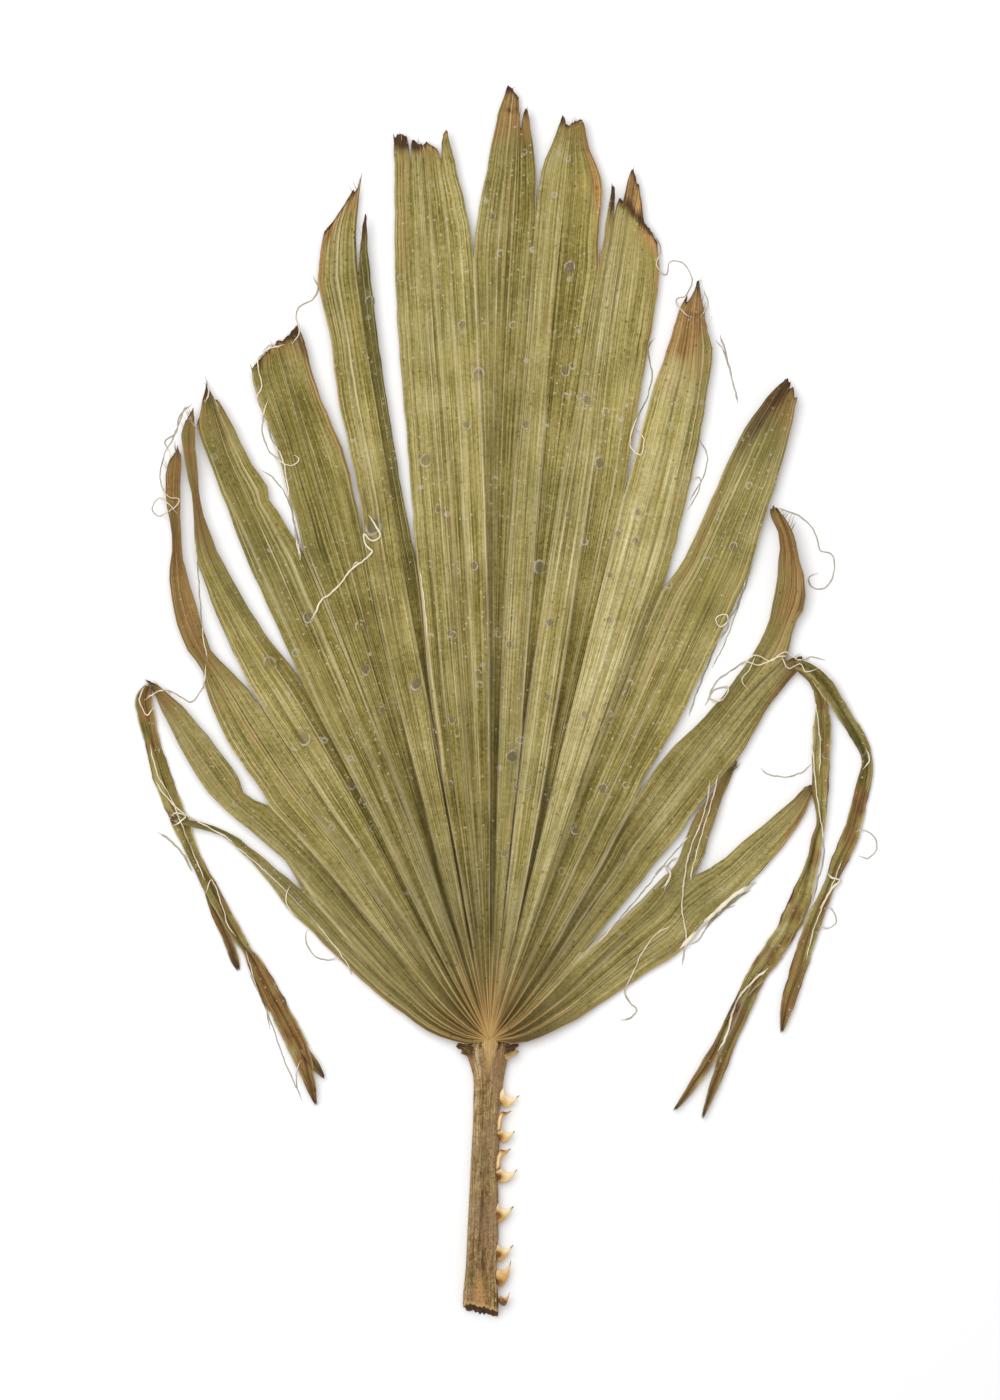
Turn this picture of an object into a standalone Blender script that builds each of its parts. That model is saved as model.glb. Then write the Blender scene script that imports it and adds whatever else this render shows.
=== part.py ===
# Pressed fan palm leaf, laid face up on a table.
# The leaf points along +Y, +X is to its right and +Z is up.
# The origin lies on the table under the place where the blade leaves its stalk.

import math
from collections import namedtuple

import bmesh
import bpy

MM = 0.001
COLLECTION_NAME = "pressed_fan_palm_leaf"

# Blade, in millimetres and in degrees to the right of the leaf's midline.
# Its sheet is given its thickness straight up, so it is thinner across a steep pleat.
SHEET_HEIGHT = 0.95
PLEAT_HEIGHT = 2.6
STEEPEST_PLEAT = 0.8
OUTER_EDGE_SHARE = 0.4
PLEAT_SAG = 0.08
BASE_LIFT = 3.4
BASE_SLOPE_END = 66.0
COSTA_HEIGHT = 1.2
COSTA_HALF_WIDTH = 2.0
COSTA_END = 34.0
SWING_START = 96.0
SWING_POWER = 2.5
STATIONS = (
    9.7, 14, 20, 28, 38, 50, 64, 80, 96, 112, 128, 144, 160, 176, 192, 208, 224, 240,
    258, 276, 294, 312, 330,
)
CLOSEST_ROWS = 4.0
WIDEST_ROWS = 17.0
SHOULDER = 5.0
FOLD_INSET = 0.14

# Outer edges of the blade: (distance from the stalk's end, angle)
LEFT_EDGE = (
    (10, -97), (14, -92), (24, -82.5), (36, -73), (48, -68), (60, -63.8), (72, -61),
    (84, -58.5), (96, -57), (108, -54.5), (120, -53.2), (132, -52.6), (144, -54),
    (155, -55.8),
)
RIGHT_EDGE = (
    (10, 97), (14, 93), (24, 83), (36, 76.4), (48, 71.2), (60, 68.2), (72, 66.2),
    (84, 65), (96, 61.3), (108, 60.6), (120, 59), (132, 57.5), (144, 56), (156, 54),
    (164, 52.2),
)

# Edges that neighbouring segments share, each up to its split
Margin = namedtuple("Margin", "split line")
MARGINS = (
    Margin(96, ((96, -51.4),)),
    Margin(128, ((96, -43.4), (128, -43.3))),
    Margin(160, ((96, -34.9), (160, -34.4))),
    Margin(160, ((96, -27.8), (160, -27.7))),
    Margin(208, ((96, -20.1), (208, -20.9))),
    Margin(208, ((96, -15.5), (180, -14.8), (208, -14.1))),
    Margin(192, ((96, -10.4), (120, -10.2), (150, -9.6), (180, -8.8), (192, -8.7))),
    Margin(312, ((96, -0.2), (180, -0.4), (280, -1.0), (312, -1.2))),
    Margin(330, ((96, 1.8), (180, 2.1), (280, 3.0), (330, 3.2))),
    Margin(312, ((96, 6.4), (180, 7.0), (230, 7.5), (312, 8.0))),
    Margin(224, ((96, 13.8), (224, 13.8))),
    Margin(192, ((96, 20.5), (192, 20.9))),
    Margin(112, ((96, 30.9), (112, 31.0))),
    Margin(192, ((96, 36.2), (120, 36.4), (180, 37.2), (192, 37.8))),
    Margin(50, ((50, 42.0),)),
    Margin(80, ((80, 49.3),)),
)

# Segments from the left: free edges, fold line, ends of the five rails and tip lift
Segment = namedtuple("Segment", "left fold right ends lift")
SEGMENTS = (
    Segment(
        (),
        ((96, -54), (108, -52.9), (120, -52.2), (132, -52), (144, -53.4), (155, -55.3)),
        ((96, -51.4), (120, -51.2), (132, -51.4), (144, -52.8), (155, -54.8)),
        (154, 155, 156, 156, 155),
        1.9,
    ),
    Segment(
        ((96, -51.4), (104, -49.4), (112, -48.7), (144, -48.9), (156, -48.1),
         (168, -46.8), (180, -45.5), (192, -44.2), (198, -43.8)),
        ((96, -46.8), (120, -46.6), (138, -46.9), (156, -45.9), (180, -44.3), (198, -43.6)),
        ((128, -43.3), (133, -44), (138, -45.1), (145, -43.8), (156, -43.2), (180, -42.6),
         (192, -43), (197, -43.3)),
        (197, 198, 199, 198, 196),
        1.6,
    ),
    Segment(
        ((128, -43.3), (136, -42.5), (156, -41.5), (180, -39), (190, -37.7), (197, -37.8),
         (204, -37.3), (215, -36.1), (226, -34.5), (231, -33.4), (240, -32), (252, -30.9),
         (262, -29.5), (269, -27.8)),
        ((96, -38.2), (120, -38.2), (156, -37.4), (180, -36.6), (194, -36.5), (215, -34.9),
         (230, -32.9), (250, -30.3), (269, -27.6)),
        ((160, -34.4), (176, -34.8), (191, -35.6), (198, -35.1), (210, -34), (222, -33),
         (229, -32.4), (238, -31.2), (249, -29.8), (259, -28.4), (269, -27.4)),
        (265, 267, 269, 267, 265),
        3.0,
    ),
    Segment(
        ((160, -34.4), (168, -34.2), (192, -33.2), (216, -31.9), (228, -31.1), (236, -30),
         (247, -28.8), (258, -28), (273, -26.7), (280, -25.2)),
        ((96, -29.3), (160, -29.5), (180, -30), (204, -30.3), (228, -29.9), (236, -29.3),
         (247, -28.4), (272, -26.2), (280, -25)),
        ((160, -27.7), (168, -27.9), (180, -28.7), (204, -29.2), (228, -29), (236, -28.7),
         (245, -28.2), (256, -27.1), (272, -25.7), (280, -24.8)),
        (276, 278, 280, 278, 275),
        4.0,
    ),
    Segment(
        ((160, -27.7), (180, -27.3), (216, -26.8), (240, -26.2), (264, -25.7), (272, -25.5),
         (282, -24.1), (287, -23.4)),
        ((96, -25.2), (180, -24.9), (230, -24.5), (260, -24.3), (287, -23.3)),
        ((208, -20.9), (219, -21.5), (226, -21.8), (233, -22.2), (239, -21.9), (246, -22.3),
         (266, -22.7), (280, -23), (287, -23.1)),
        (281, 284, 287, 283, 279),
        2.5,
    ),
    Segment(
        ((208, -20.9), (216, -20.6), (240, -20.1), (252, -19.8), (276, -19.9), (284, -19.5),
         (288, -19)),
        ((96, -17.6), (208, -17.3), (290, -17)),
        ((208, -14.1), (216, -14), (240, -13.9), (252, -14.3), (276, -14.9), (295, -14.8)),
        (286, 289, 290, 293, 295),
        2.0,
    ),
    Segment(
        ((208, -14.1), (216, -13.7), (240, -13.4), (264, -13.3), (288, -12.8), (312, -12.7),
         (324, -12), (336, -10.9), (346, -9.5), (352, -8.6)),
        ((96, -11.4), (120, -11.2), (180, -10.4), (240, -10.2), (336, -9.7), (352, -8.4)),
        ((192, -8.7), (204, -8.9), (228, -9.2), (276, -9.2), (324, -9), (336, -8.7),
         (350, -8.3)),
        (323, 337, 347, 352, 346),
        3.0,
    ),
    Segment(
        ((192, -8.7), (204, -8.5), (240, -7.9), (276, -7.5), (312, -7), (336, -6.5),
         (360, -6.1)),
        ((96, -4.9), (240, -4.6), (361, -4.4)),
        ((312, -1.2), (324, -1.4), (348, -2.2), (364, -2.7)),
        (358, 364, 361, 353, 364),
        1.5,
    ),
    Segment(
        ((312, -1.2), (324, -1), (348, -0.2), (372, 0.6), (380, 1)),
        ((96, 0.7), (280, 1), (368, 1.6)),
        ((330, 3.2), (348, 3), (360, 2.7), (372, 2.3)),
        (374, 381, 368, 372, 365),
        2.5,
    ),
    Segment(
        ((330, 3.2), (348, 3.4), (360, 4), (368, 4.4)),
        ((96, 5.6), (120, 5.6), (180, 5.4), (273, 5), (364, 5.1)),
        ((312, 8), (324, 7.7), (348, 7.3), (358, 6.4), (369, 5.8)),
        (366, 370, 363, 369, 357),
        1.8,
    ),
    Segment(
        ((312, 8), (324, 8.05), (345, 8.1)),
        ((96, 11.3), (160, 11.3), (180, 10.8), (232, 10.3), (272, 9.7), (352, 9.4)),
        ((224, 13.8), (240, 13.5), (264, 13.1), (300, 12.7), (312, 12.5), (327, 11.8)),
        (345, 340, 352, 338, 326),
        3.0,
    ),
    Segment(
        ((224, 13.8), (240, 13.95), (264, 14), (288, 14.4), (300, 14.5), (312, 15)),
        ((96, 19.2), (192, 19.4), (240, 18.4), (276, 17.4), (314, 15.4)),
        ((192, 20.9), (204, 20.7), (228, 20), (252, 19.3), (276, 18.4), (288, 18),
         (300, 16.7), (314, 15.6)),
        (307, 311, 314, 307, 299),
        1.5,
    ),
    Segment(
        ((192, 20.9), (204, 21.8), (228, 22.2), (264, 22.6), (276, 23.1), (288, 23.9)),
        ((96, 25.5), (120, 25.5), (180, 25.1), (284, 24.6)),
        ((112, 31), (122, 30.5), (144, 30.6), (168, 30), (192, 29.5), (216, 28.9),
         (228, 28.1), (252, 27.1), (276, 26), (284, 25.6)),
        (285, 289, 284, 287, 282),
        2.0,
    ),
    Segment(
        ((112, 31), (122, 31.2), (132, 31.5), (144, 32.6), (156, 33.6), (180, 34.2),
         (196, 34), (209, 32.8), (222, 31.2), (233, 29.6), (238, 28), (242, 27.6)),
        ((96, 34.2), (120, 34.3), (180, 35.5), (208, 34.6), (224, 32.6), (236, 30), (242, 28)),
        ((192, 37.8), (196, 37.4), (208, 36.1), (213, 36), (224, 34), (228, 32.8),
         (236, 30.8), (242, 28.4)),
        (240, 242, 242, 242, 240),
        5.0,
    ),
    Segment(
        ((192, 37.8), (196, 38.6)),
        ((96, 39.4), (120, 39.3), (180, 38.9), (196, 39.1)),
        ((50, 46.5), (64, 45), (72, 44.4), (84, 43.8), (96, 43), (108, 42.8), (120, 41.9),
         (132, 41.4), (156, 41), (168, 40.1), (196, 39.7)),
        (195, 197, 198, 197, 196),
        2.4,
    ),
    Segment(
        ((50, 46.5), (64, 47), (72, 47.2), (84, 47), (96, 46.7), (100, 46.9), (108, 45.2),
         (120, 42.5), (132, 41.9), (149, 41)),
        ((80, 46.9), (88, 48.6), (96, 47.3), (100, 47.4), (108, 47.8), (120, 44.8),
         (132, 43), (149, 41.4)),
        ((80, 52), (88, 50.4), (96, 47.9), (100, 48), (108, 50.4), (120, 47), (132, 44.2),
         (142, 42.6), (149, 41.7)),
        (147, 149, 149, 149, 148),
        0.0,
    ),
    Segment(
        ((80, 52), (88, 51.2), (96, 48.7), (102, 50.8), (108, 51.6), (132, 51.8),
         (156, 51.4), (164, 51.1)),
        ((80, 56.4), (96, 56.8), (108, 56.4), (132, 54.8), (156, 52.9), (164, 51.7)),
        (),
        (162, 164, 165, 164, 162),
        0.0,
    ),
)

# Strips that fold back and hang beside the blade: (x, y, width, height over the table)
STRIP_FOLD = 0.7
STRIP_SLOPE = 0.16
LEFT_STRIP = (
    (-136.5, 141.5, 3.4, 1.9), (-138.4, 136, 6.8, 1.2), (-137, 128, 6.8, 0.5),
    (-135.2, 120, 6.2, 0), (-130.6, 104, 7.2, 0), (-124.2, 88, 7, 0), (-117.4, 72, 5, 0.4),
    (-109, 56, 5.6, 0.4), (-101.6, 43, 5, 0.4), (-97.2, 36, 3.6, 0.6), (-94.2, 31, 6, 0.4),
    (-86.4, 16, 7.8, 0), (-78, 0, 8, 0.5), (-73.4, -9, 8.6, 1.2), (-70.6, -17, 6.4, 1.6),
    (-69.2, -26, 1.2, 1.8),
)
LEFT_STRIP_FORK = ((-75.4, -3, 3.4, 0.7), (-70.4, -9, 3, 1.3), (-66.2, -15.4, 0.9, 1.6))
LEFT_STRIP_SPUR = (
    (-113.4, 62, 3, 0.3), (-109.6, 52, 4.4, 0), (-104.8, 40, 3.8, 0), (-102, 32, 3.4, 0),
    (-100.4, 27.6, 0.9, 0.2),
)
RIGHT_STRIP = (
    (121.6, 149.8, 4, 3.1), (126.6, 148.6, 5, 3), (132.8, 143, 6.2, 2.6),
    (137.8, 136, 6.4, 1.8), (143, 128, 5.6, 0.8), (148, 120, 5.2, 0.2), (150.8, 112, 4.4, 0),
    (149.8, 104, 5.6, 0), (147.8, 96, 5.8, 0), (146, 88, 6.6, 0), (143.4, 80, 6.8, 0),
    (139.8, 72, 6.4, 0.2), (136, 63, 4.8, 0.6), (133.2, 56, 5, 0.4), (129.6, 48, 6.6, 0),
    (124.4, 32, 6.4, 0), (119.4, 16, 5.8, 0.6), (117.6, 8, 3.4, 1), (116.4, 2.4, 0.9, 1.2),
)
INNER_STRIP = (
    (124.8, 148.8, 4.4, 2.3), (129.4, 143.4, 3.6, 2.2), (132.2, 136, 4.4, 1.9),
    (132.8, 128, 6.4, 1.7), (132.6, 120, 7.4, 1.6), (132.2, 108, 7, 1.7), (132, 98, 6, 1.7),
    (132.4, 88, 3.8, 1.4), (130.6, 80, 4.4, 0.9), (129.2, 72, 5, 0.4), (126.4, 63, 7, 0),
    (123.2, 54, 8.4, 0), (118.6, 44, 8.6, 0), (112, 33.6, 8.4, 0), (105.4, 24.6, 7, 0),
    (99.6, 16, 3.2, 0), (95.8, 8, 3.6, 0), (92, 0, 3.8, 0.2), (87.6, -8, 4.4, 0.6),
    (82.4, -16, 3.8, 1), (76.8, -24, 2.4, 1.4), (73.2, -28.4, 0.9, 1.6),
)
INNER_STRIP_FORK = (
    (108.4, 26, 4.6, 0.2), (104, 16.4, 4.2, 0.2), (100.4, 8, 4, 0.2), (96.8, 0, 4, 0.2),
    (93.4, -8, 4.4, 0.4), (90.4, -16, 4, 0.9), (87.4, -24, 2.8, 1.4), (84.8, -31.6, 0.9, 1.8),
)

# Stalk, in millimetres: (distance along Y, left side, right side, height)
STALK_ROWS = (
    (-110, -9.4, 2.2, 5.2), (-108, -10.6, 3.2, 6.4), (-102, -11.2, 3, 6.9), (-92, -10.4, 2, 6.8),
    (-78, -9.6, 2.2, 6.6), (-63, -8.8, 2.4, 6.4), (-49, -7.8, 2.6, 6.2), (-34, -7.2, 3.8, 6),
    (-24, -7, 4.6, 5.9), (-14, -6.8, 5.2, 5.8), (-9, -8.4, 6.8, 5.6), (-5.5, -11, 8.6, 5.2),
    (-3.2, -14, 11.4, 4.6), (-1.9, -12.6, 11, 4.4), (-1.3, -9.2, 9, 4.6), (2, -9, 8.8, 4.9),
    (5, -7.8, 7.6, 4.9), (7.6, -5, 4.8, 4.8), (9.2, -1.6, 1.5, 4.6),
)
STALK_SECTION = (
    (-0.62, 0), (0.62, 0), (0.9, 0.22), (1, 0.5), (0.9, 0.8), (0.66, 0.97), (0.42, 0.88),
    (0.16, 0.95), (-0.1, 0.84), (-0.36, 0.94), (-0.66, 1), (-0.9, 0.8), (-1, 0.5), (-0.9, 0.22),
)
STALK_END_JAGS = (0, -1.2, 0.4, -0.8, 0.9, -0.5, 1.1, -0.9, 0.6, -1.3, 0.5, -0.6, 1, -0.4)

# Toothed margin on the stalk's right side
MARGIN_GAP = 0.45
MARGIN_WIDTH = 1.2
MARGIN_LOW = 1.7
MARGIN_HIGH = 4.3
MARGIN_ENDS = (-107.5, -15)
MARGIN_PITCH = 6.0
MARGIN_END_SHARE = 0.35
MARGIN_BEVEL = 0.6
Tooth = namedtuple("Tooth", "tip_x tip_y base_low base_high")
TEETH = (
    Tooth(11.6, -22, -28, -19), Tooth(8.2, -28.6, -32, -28.4), Tooth(10, -36.6, -42.6, -34),
    Tooth(8, -43.8, -47, -43), Tooth(10.8, -51.6, -57.6, -49.4), Tooth(9.6, -66.2, -73, -64.6),
    Tooth(9.4, -81.6, -88.6, -80.8), Tooth(8.2, -88.6, -96, -90.6), Tooth(7.6, -99.8, -106, -100.4),
)
TOOTH_ROWS = 5
TOOTH_SIDES = 6
TOOTH_HALF_HEIGHT = 1.15
TOOTH_TIP = 0.16
TOOTH_ROOT = 0.7
TOOTH_HOOK = 1.5
TOOTH_TAPER = 1.3


def smooth_value(knots, at):
    """Value on a smooth curve through (place, value) knots, level beyond its ends."""
    if at <= knots[0][0]:
        return knots[0][1]
    if at >= knots[-1][0]:
        return knots[-1][1]
    steps = [(b[0] - a[0], (b[1] - a[1]) / (b[0] - a[0])) for a, b in zip(knots, knots[1:])]
    index = max(i for i, knot in enumerate(knots[:-1]) if knot[0] <= at)

    def slope_at(i):
        before = steps[i - 1] if i > 0 else steps[0]
        after = steps[i] if i < len(steps) else steps[-1]
        if before[1] * after[1] <= 0:
            return 0.0
        return (before[1] * after[0] + after[1] * before[0]) / (before[0] + after[0])

    width, rise = steps[index]
    t = (at - knots[index][0]) / width
    start, end = knots[index][1], knots[index + 1][1]
    near, far = slope_at(index) * width, slope_at(index + 1) * width
    return (
        start * (1 + 2 * t) * (1 - t) ** 2 + near * t * (1 - t) ** 2
        + end * t * t * (3 - 2 * t) + far * t * t * (t - 1)
    )


def ease(share):
    """Smooth step from 0 to 1."""
    share = min(max(share, 0.0), 1.0)
    return share * share * (3 - 2 * share)


def swing(angle, radius):
    """How far a line near the stalk swings out towards the blade's lower edge."""
    edge = RIGHT_EDGE if angle > 0 else LEFT_EDGE
    full = smooth_value(edge, SWING_START)
    if radius >= SWING_START:
        return 0.0
    return (smooth_value(edge, radius) - full) * abs(angle / full) ** SWING_POWER


def margin_angle(index, radius, side):
    """Angle of a segment edge; side is 0 for the segment on its left, 1 for that on its right."""
    if index == 0:
        return smooth_value(LEFT_EDGE, radius)
    if index == len(SEGMENTS):
        return smooth_value(RIGHT_EDGE, radius)
    margin = MARGINS[index - 1]
    if radius <= margin.split:
        angle = smooth_value(margin.line, radius)
        return angle + swing(angle, radius)
    free = SEGMENTS[index].left if side else SEGMENTS[index - 1].right
    return smooth_value(free, radius)


def fold_angle(index, radius):
    """Angle of a segment's fold line, kept between the segment's edges."""
    angle = smooth_value(SEGMENTS[index].fold, radius)
    angle += swing(angle, radius)
    left = margin_angle(index, radius, 1)
    right = margin_angle(index + 1, radius, 0)
    inset = FOLD_INSET * (right - left)
    return min(max(angle, left + inset), right - inset)


def split_radius(index):
    """Distance at which two neighbouring segments part."""
    return MARGINS[index - 1].split if 0 < index < len(SEGMENTS) else STATIONS[0]


def pleat_height(index, radius, side):
    """Height of a segment edge over the folds beside it."""
    halves = []
    shared = radius <= split_radius(index)
    if index < len(SEGMENTS) and (side or shared):
        halves.append(fold_angle(index, radius) - margin_angle(index, radius, 1))
    if index > 0 and (not side or shared):
        halves.append(margin_angle(index, radius, 0) - fold_angle(index - 1, radius))
    narrow = math.radians(min(halves)) * radius
    height = min(PLEAT_HEIGHT, STEEPEST_PLEAT * narrow)
    return height * (OUTER_EDGE_SHARE if index in (0, len(SEGMENTS)) else 1.0)


def costa_height(radius, angle):
    """Rise of the stalk's rib where it runs on into the blade."""
    aside = radius * math.sin(math.radians(angle)) / COSTA_HALF_WIDTH
    return COSTA_HEIGHT * math.exp(-aside * aside) * (1 - ease(radius / COSTA_END))


def segment_lift(index, radius):
    """Height of a segment's fold line over the table."""
    base = BASE_LIFT * (1 - ease(radius / BASE_SLOPE_END))
    start = max(split_radius(index), split_radius(index + 1))
    reach = max(SEGMENTS[index].ends) - start
    return base + SEGMENTS[index].lift * ease((radius - start) / reach)


def segment_rows(index):
    """Distances of a segment's rows: the shared ones, then its own as far as its shoulder."""
    segment = SEGMENTS[index]
    last_split = max(split_radius(index), split_radius(index + 1))
    rows = [float(r) for r in STATIONS if r <= last_split]
    shoulder = min(segment.ends) - SHOULDER
    edges = (segment.left or LEFT_EDGE) + (segment.right or RIGHT_EDGE)
    marks = sorted({float(r) for r, _ in edges if last_split < r < shoulder} | {shoulder})
    for mark in marks:
        while mark - rows[-1] > WIDEST_ROWS:
            rows.append(rows[-1] + (mark - rows[-1]) / math.ceil((mark - rows[-1]) / WIDEST_ROWS))
        if mark - rows[-1] >= CLOSEST_ROWS:
            rows.append(mark)
    return rows


def rail_point(index, rail, radius):
    """Point of the underside on one of a segment's five rails."""
    left = margin_angle(index, radius, 1)
    fold = fold_angle(index, radius)
    right = margin_angle(index + 1, radius, 0)
    high_left = pleat_height(index, radius, 1)
    high_right = pleat_height(index + 1, radius, 0)
    angle, rise = (
        (left, high_left),
        ((left + fold) / 2, high_left * (0.5 - PLEAT_SAG)),
        (fold, 0.0),
        ((fold + right) / 2, high_right * (0.5 - PLEAT_SAG)),
        (right, high_right),
    )[rail]
    z = segment_lift(index, radius) + rise + costa_height(radius, angle)
    turn = math.radians(angle)
    return (radius * math.sin(turn), radius * math.cos(turn), z)


def thicken(mesh_data, height):
    """Give an open sheet its thickness, straight up, with alike triangles on both faces."""
    bmesh.ops.triangulate(mesh_data, faces=mesh_data.faces[:], quad_method="FIXED")
    lower = mesh_data.faces[:]
    rim = [edge for edge in mesh_data.edges if edge.is_boundary]
    copy = bmesh.ops.duplicate(mesh_data, geom=mesh_data.verts[:] + mesh_data.edges[:] + lower)
    above = copy["vert_map"]
    for edge in rim:
        start, end = edge.verts
        mesh_data.faces.new((start, end, above[end], above[start]))
    for vertex in copy["geom"]:
        if isinstance(vertex, bmesh.types.BMVert):
            vertex.co.z += height * MM
    bmesh.ops.reverse_faces(mesh_data, faces=lower)
    bmesh.ops.triangulate(mesh_data, faces=[f for f in mesh_data.faces if len(f.verts) > 3])
    bmesh.ops.recalc_face_normals(mesh_data, faces=mesh_data.faces[:])


def add_object(name, mesh_data, collection):
    """Turn a finished mesh into an object of the collection."""
    mesh = bpy.data.meshes.new(name)
    mesh_data.to_mesh(mesh)
    mesh_data.free()
    made = bpy.data.objects.new(name, mesh)
    collection.objects.link(made)
    return made


def blade_sheet(collection):
    """The pleated fan: all segments in one sheet, parted beyond their splits."""
    mesh_data = bmesh.new()
    made = {}

    def vertex(index, rail, row, radius):
        margin = index if rail == 0 else index + 1
        key = (index, rail, row)
        if rail in (0, 4) and 0 < margin < len(SEGMENTS) and radius <= split_radius(margin):
            key = ("margin", margin, row)
        if key not in made:
            x, y, z = rail_point(index, rail, radius)
            made[key] = mesh_data.verts.new((x * MM, y * MM, z * MM))
        return made[key]

    for index, segment in enumerate(SEGMENTS):
        rows = segment_rows(index)
        reach = [[radius] * 5 for radius in rows]
        reach.append([(rows[-1] + end) / 2 for end in segment.ends])
        reach.append(list(segment.ends))
        grid = [[vertex(index, rail, row, radii[rail]) for rail in range(5)]
                for row, radii in enumerate(reach)]
        for near, far in zip(grid, grid[1:]):
            for rail in range(4):
                mesh_data.faces.new((near[rail], near[rail + 1], far[rail + 1], far[rail]))
    thicken(mesh_data, SHEET_HEIGHT)
    return add_object("blade", mesh_data, collection)


def hanging_strip(name, route, collection):
    """A folded ribbon along its route, with a shallow crease down its middle."""
    mesh_data = bmesh.new()
    grid = []
    for row, (x, y, width, z) in enumerate(route):
        before = route[max(row - 1, 0)]
        after = route[min(row + 1, len(route) - 1)]
        along = math.hypot(after[0] - before[0], after[1] - before[1])
        side_x = (after[1] - before[1]) / along * width / 2
        side_y = -(after[0] - before[0]) / along * width / 2
        rise = min(STRIP_FOLD, width * STRIP_SLOPE)
        grid.append([
            mesh_data.verts.new(((x - side_x) * MM, (y - side_y) * MM, (z + rise) * MM)),
            mesh_data.verts.new((x * MM, y * MM, z * MM)),
            mesh_data.verts.new(((x + side_x) * MM, (y + side_y) * MM, (z + rise) * MM)),
        ])
    for near, far in zip(grid, grid[1:]):
        for rail in range(2):
            mesh_data.faces.new((near[rail], near[rail + 1], far[rail + 1], far[rail]))
    thicken(mesh_data, SHEET_HEIGHT)
    return add_object(name, mesh_data, collection)


def loft(name, sections, collection):
    """Closed body through rings of points that have the same number of corners."""
    mesh_data = bmesh.new()
    rings = [[mesh_data.verts.new([c * MM for c in point]) for point in ring] for ring in sections]
    count = len(rings[0])
    for near, far in zip(rings, rings[1:]):
        for i in range(count):
            j = (i + 1) % count
            mesh_data.faces.new((near[i], near[j], far[j], far[i]))
    mesh_data.faces.new(rings[0])
    mesh_data.faces.new(rings[-1])
    bmesh.ops.triangulate(mesh_data, faces=mesh_data.faces[:])
    bmesh.ops.recalc_face_normals(mesh_data, faces=mesh_data.faces[:])
    return add_object(name, mesh_data, collection)


def join_solids(main, others):
    """Fuse overlapping solids into one body."""
    together = bpy.data.collections.new("joined_to_" + main.name)
    bpy.context.scene.collection.children.link(together)
    for other in others:
        together.objects.link(other)
    union = main.modifiers.new("union", "BOOLEAN")
    union.operation = "UNION"
    union.operand_type = "COLLECTION"
    union.collection = together
    union.solver = "EXACT"
    bpy.context.view_layer.update()
    shape = main.evaluated_get(bpy.context.evaluated_depsgraph_get())
    joined = bpy.data.meshes.new_from_object(shape)
    main.modifiers.clear()
    main.data = joined
    for other in others:
        bpy.data.objects.remove(other)
    bpy.data.collections.remove(together)


def make_blade(collection):
    """Blade with the strips that hang from its sides."""
    blade = blade_sheet(collection)
    routes = {
        "left_strip": LEFT_STRIP,
        "left_strip_fork": LEFT_STRIP_FORK,
        "left_strip_spur": LEFT_STRIP_SPUR,
        "right_strip": RIGHT_STRIP,
        "inner_strip": INNER_STRIP,
        "inner_strip_fork": INNER_STRIP_FORK,
    }
    strips = [hanging_strip(name, route, collection) for name, route in routes.items()]
    join_solids(blade, strips)
    return blade


def make_stalk(collection):
    """Leaf stalk: flat below, grooved above, flared where the blade starts, torn at its foot."""
    sections = []
    for row, (y, left, right, height) in enumerate(STALK_ROWS):
        middle, half = (left + right) / 2, (right - left) / 2
        jags = STALK_END_JAGS if row == 0 else [0] * len(STALK_SECTION)
        sections.append([
            (middle + u * half, y + jag, v * height) for (u, v), jag in zip(STALK_SECTION, jags)
        ])
    return loft("stalk", sections, collection)


def stalk_side(y):
    """X of the stalk's right side."""
    return smooth_value([(row[0], row[2]) for row in STALK_ROWS], y)


def margin_body(collection):
    """The hard amber band that the teeth grow from."""
    start, end = MARGIN_ENDS
    count = round((end - start) / MARGIN_PITCH)
    sections = []
    for i in range(count + 1):
        y = start + (end - start) * i / count
        thin = MARGIN_END_SHARE if i in (0, count) else 1.0
        inner = stalk_side(y) + MARGIN_GAP
        outer = inner + MARGIN_WIDTH * thin
        middle = (MARGIN_LOW + MARGIN_HIGH) / 2
        half = (MARGIN_HIGH - MARGIN_LOW) / 2 * (0.5 + 0.5 * thin)
        sections.append([
            (inner, y, middle - half), (outer, y, middle - half * MARGIN_BEVEL),
            (outer, y, middle + half * MARGIN_BEVEL), (inner, y, middle + half),
        ])
    return loft("stalk_teeth", sections, collection)


def tooth_body(number, tooth, collection):
    """One flattened hook that leans towards the blade."""
    middle_y = (tooth.base_low + tooth.base_high) / 2
    root_x = stalk_side(middle_y) + MARGIN_GAP + TOOTH_ROOT
    half_base = (tooth.base_high - tooth.base_low) / 2
    middle_z = (MARGIN_LOW + MARGIN_HIGH) / 2
    sections = []
    for row in range(TOOTH_ROWS + 1):
        t = row / TOOTH_ROWS
        x = root_x + (tooth.tip_x - root_x) * t
        y = middle_y + (tooth.tip_y - middle_y) * t ** TOOTH_HOOK
        half_y = TOOTH_TIP + (half_base - TOOTH_TIP) * (1 - t) ** TOOTH_TAPER
        half_z = TOOTH_TIP + (TOOTH_HALF_HEIGHT - TOOTH_TIP) * (1 - t)
        turns = [2 * math.pi * (side + 0.5) / TOOTH_SIDES for side in range(TOOTH_SIDES)]
        sections.append([
            (x, y + half_y * math.cos(a), middle_z + half_z * math.sin(a)) for a in turns
        ])
    return loft(f"tooth_{number}", sections, collection)


def make_teeth(collection):
    """Toothed margin: the band with all its hooks in one body."""
    band = margin_body(collection)
    hooks = [tooth_body(number, tooth, collection) for number, tooth in enumerate(TEETH)]
    join_solids(band, hooks)
    return band


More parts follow.
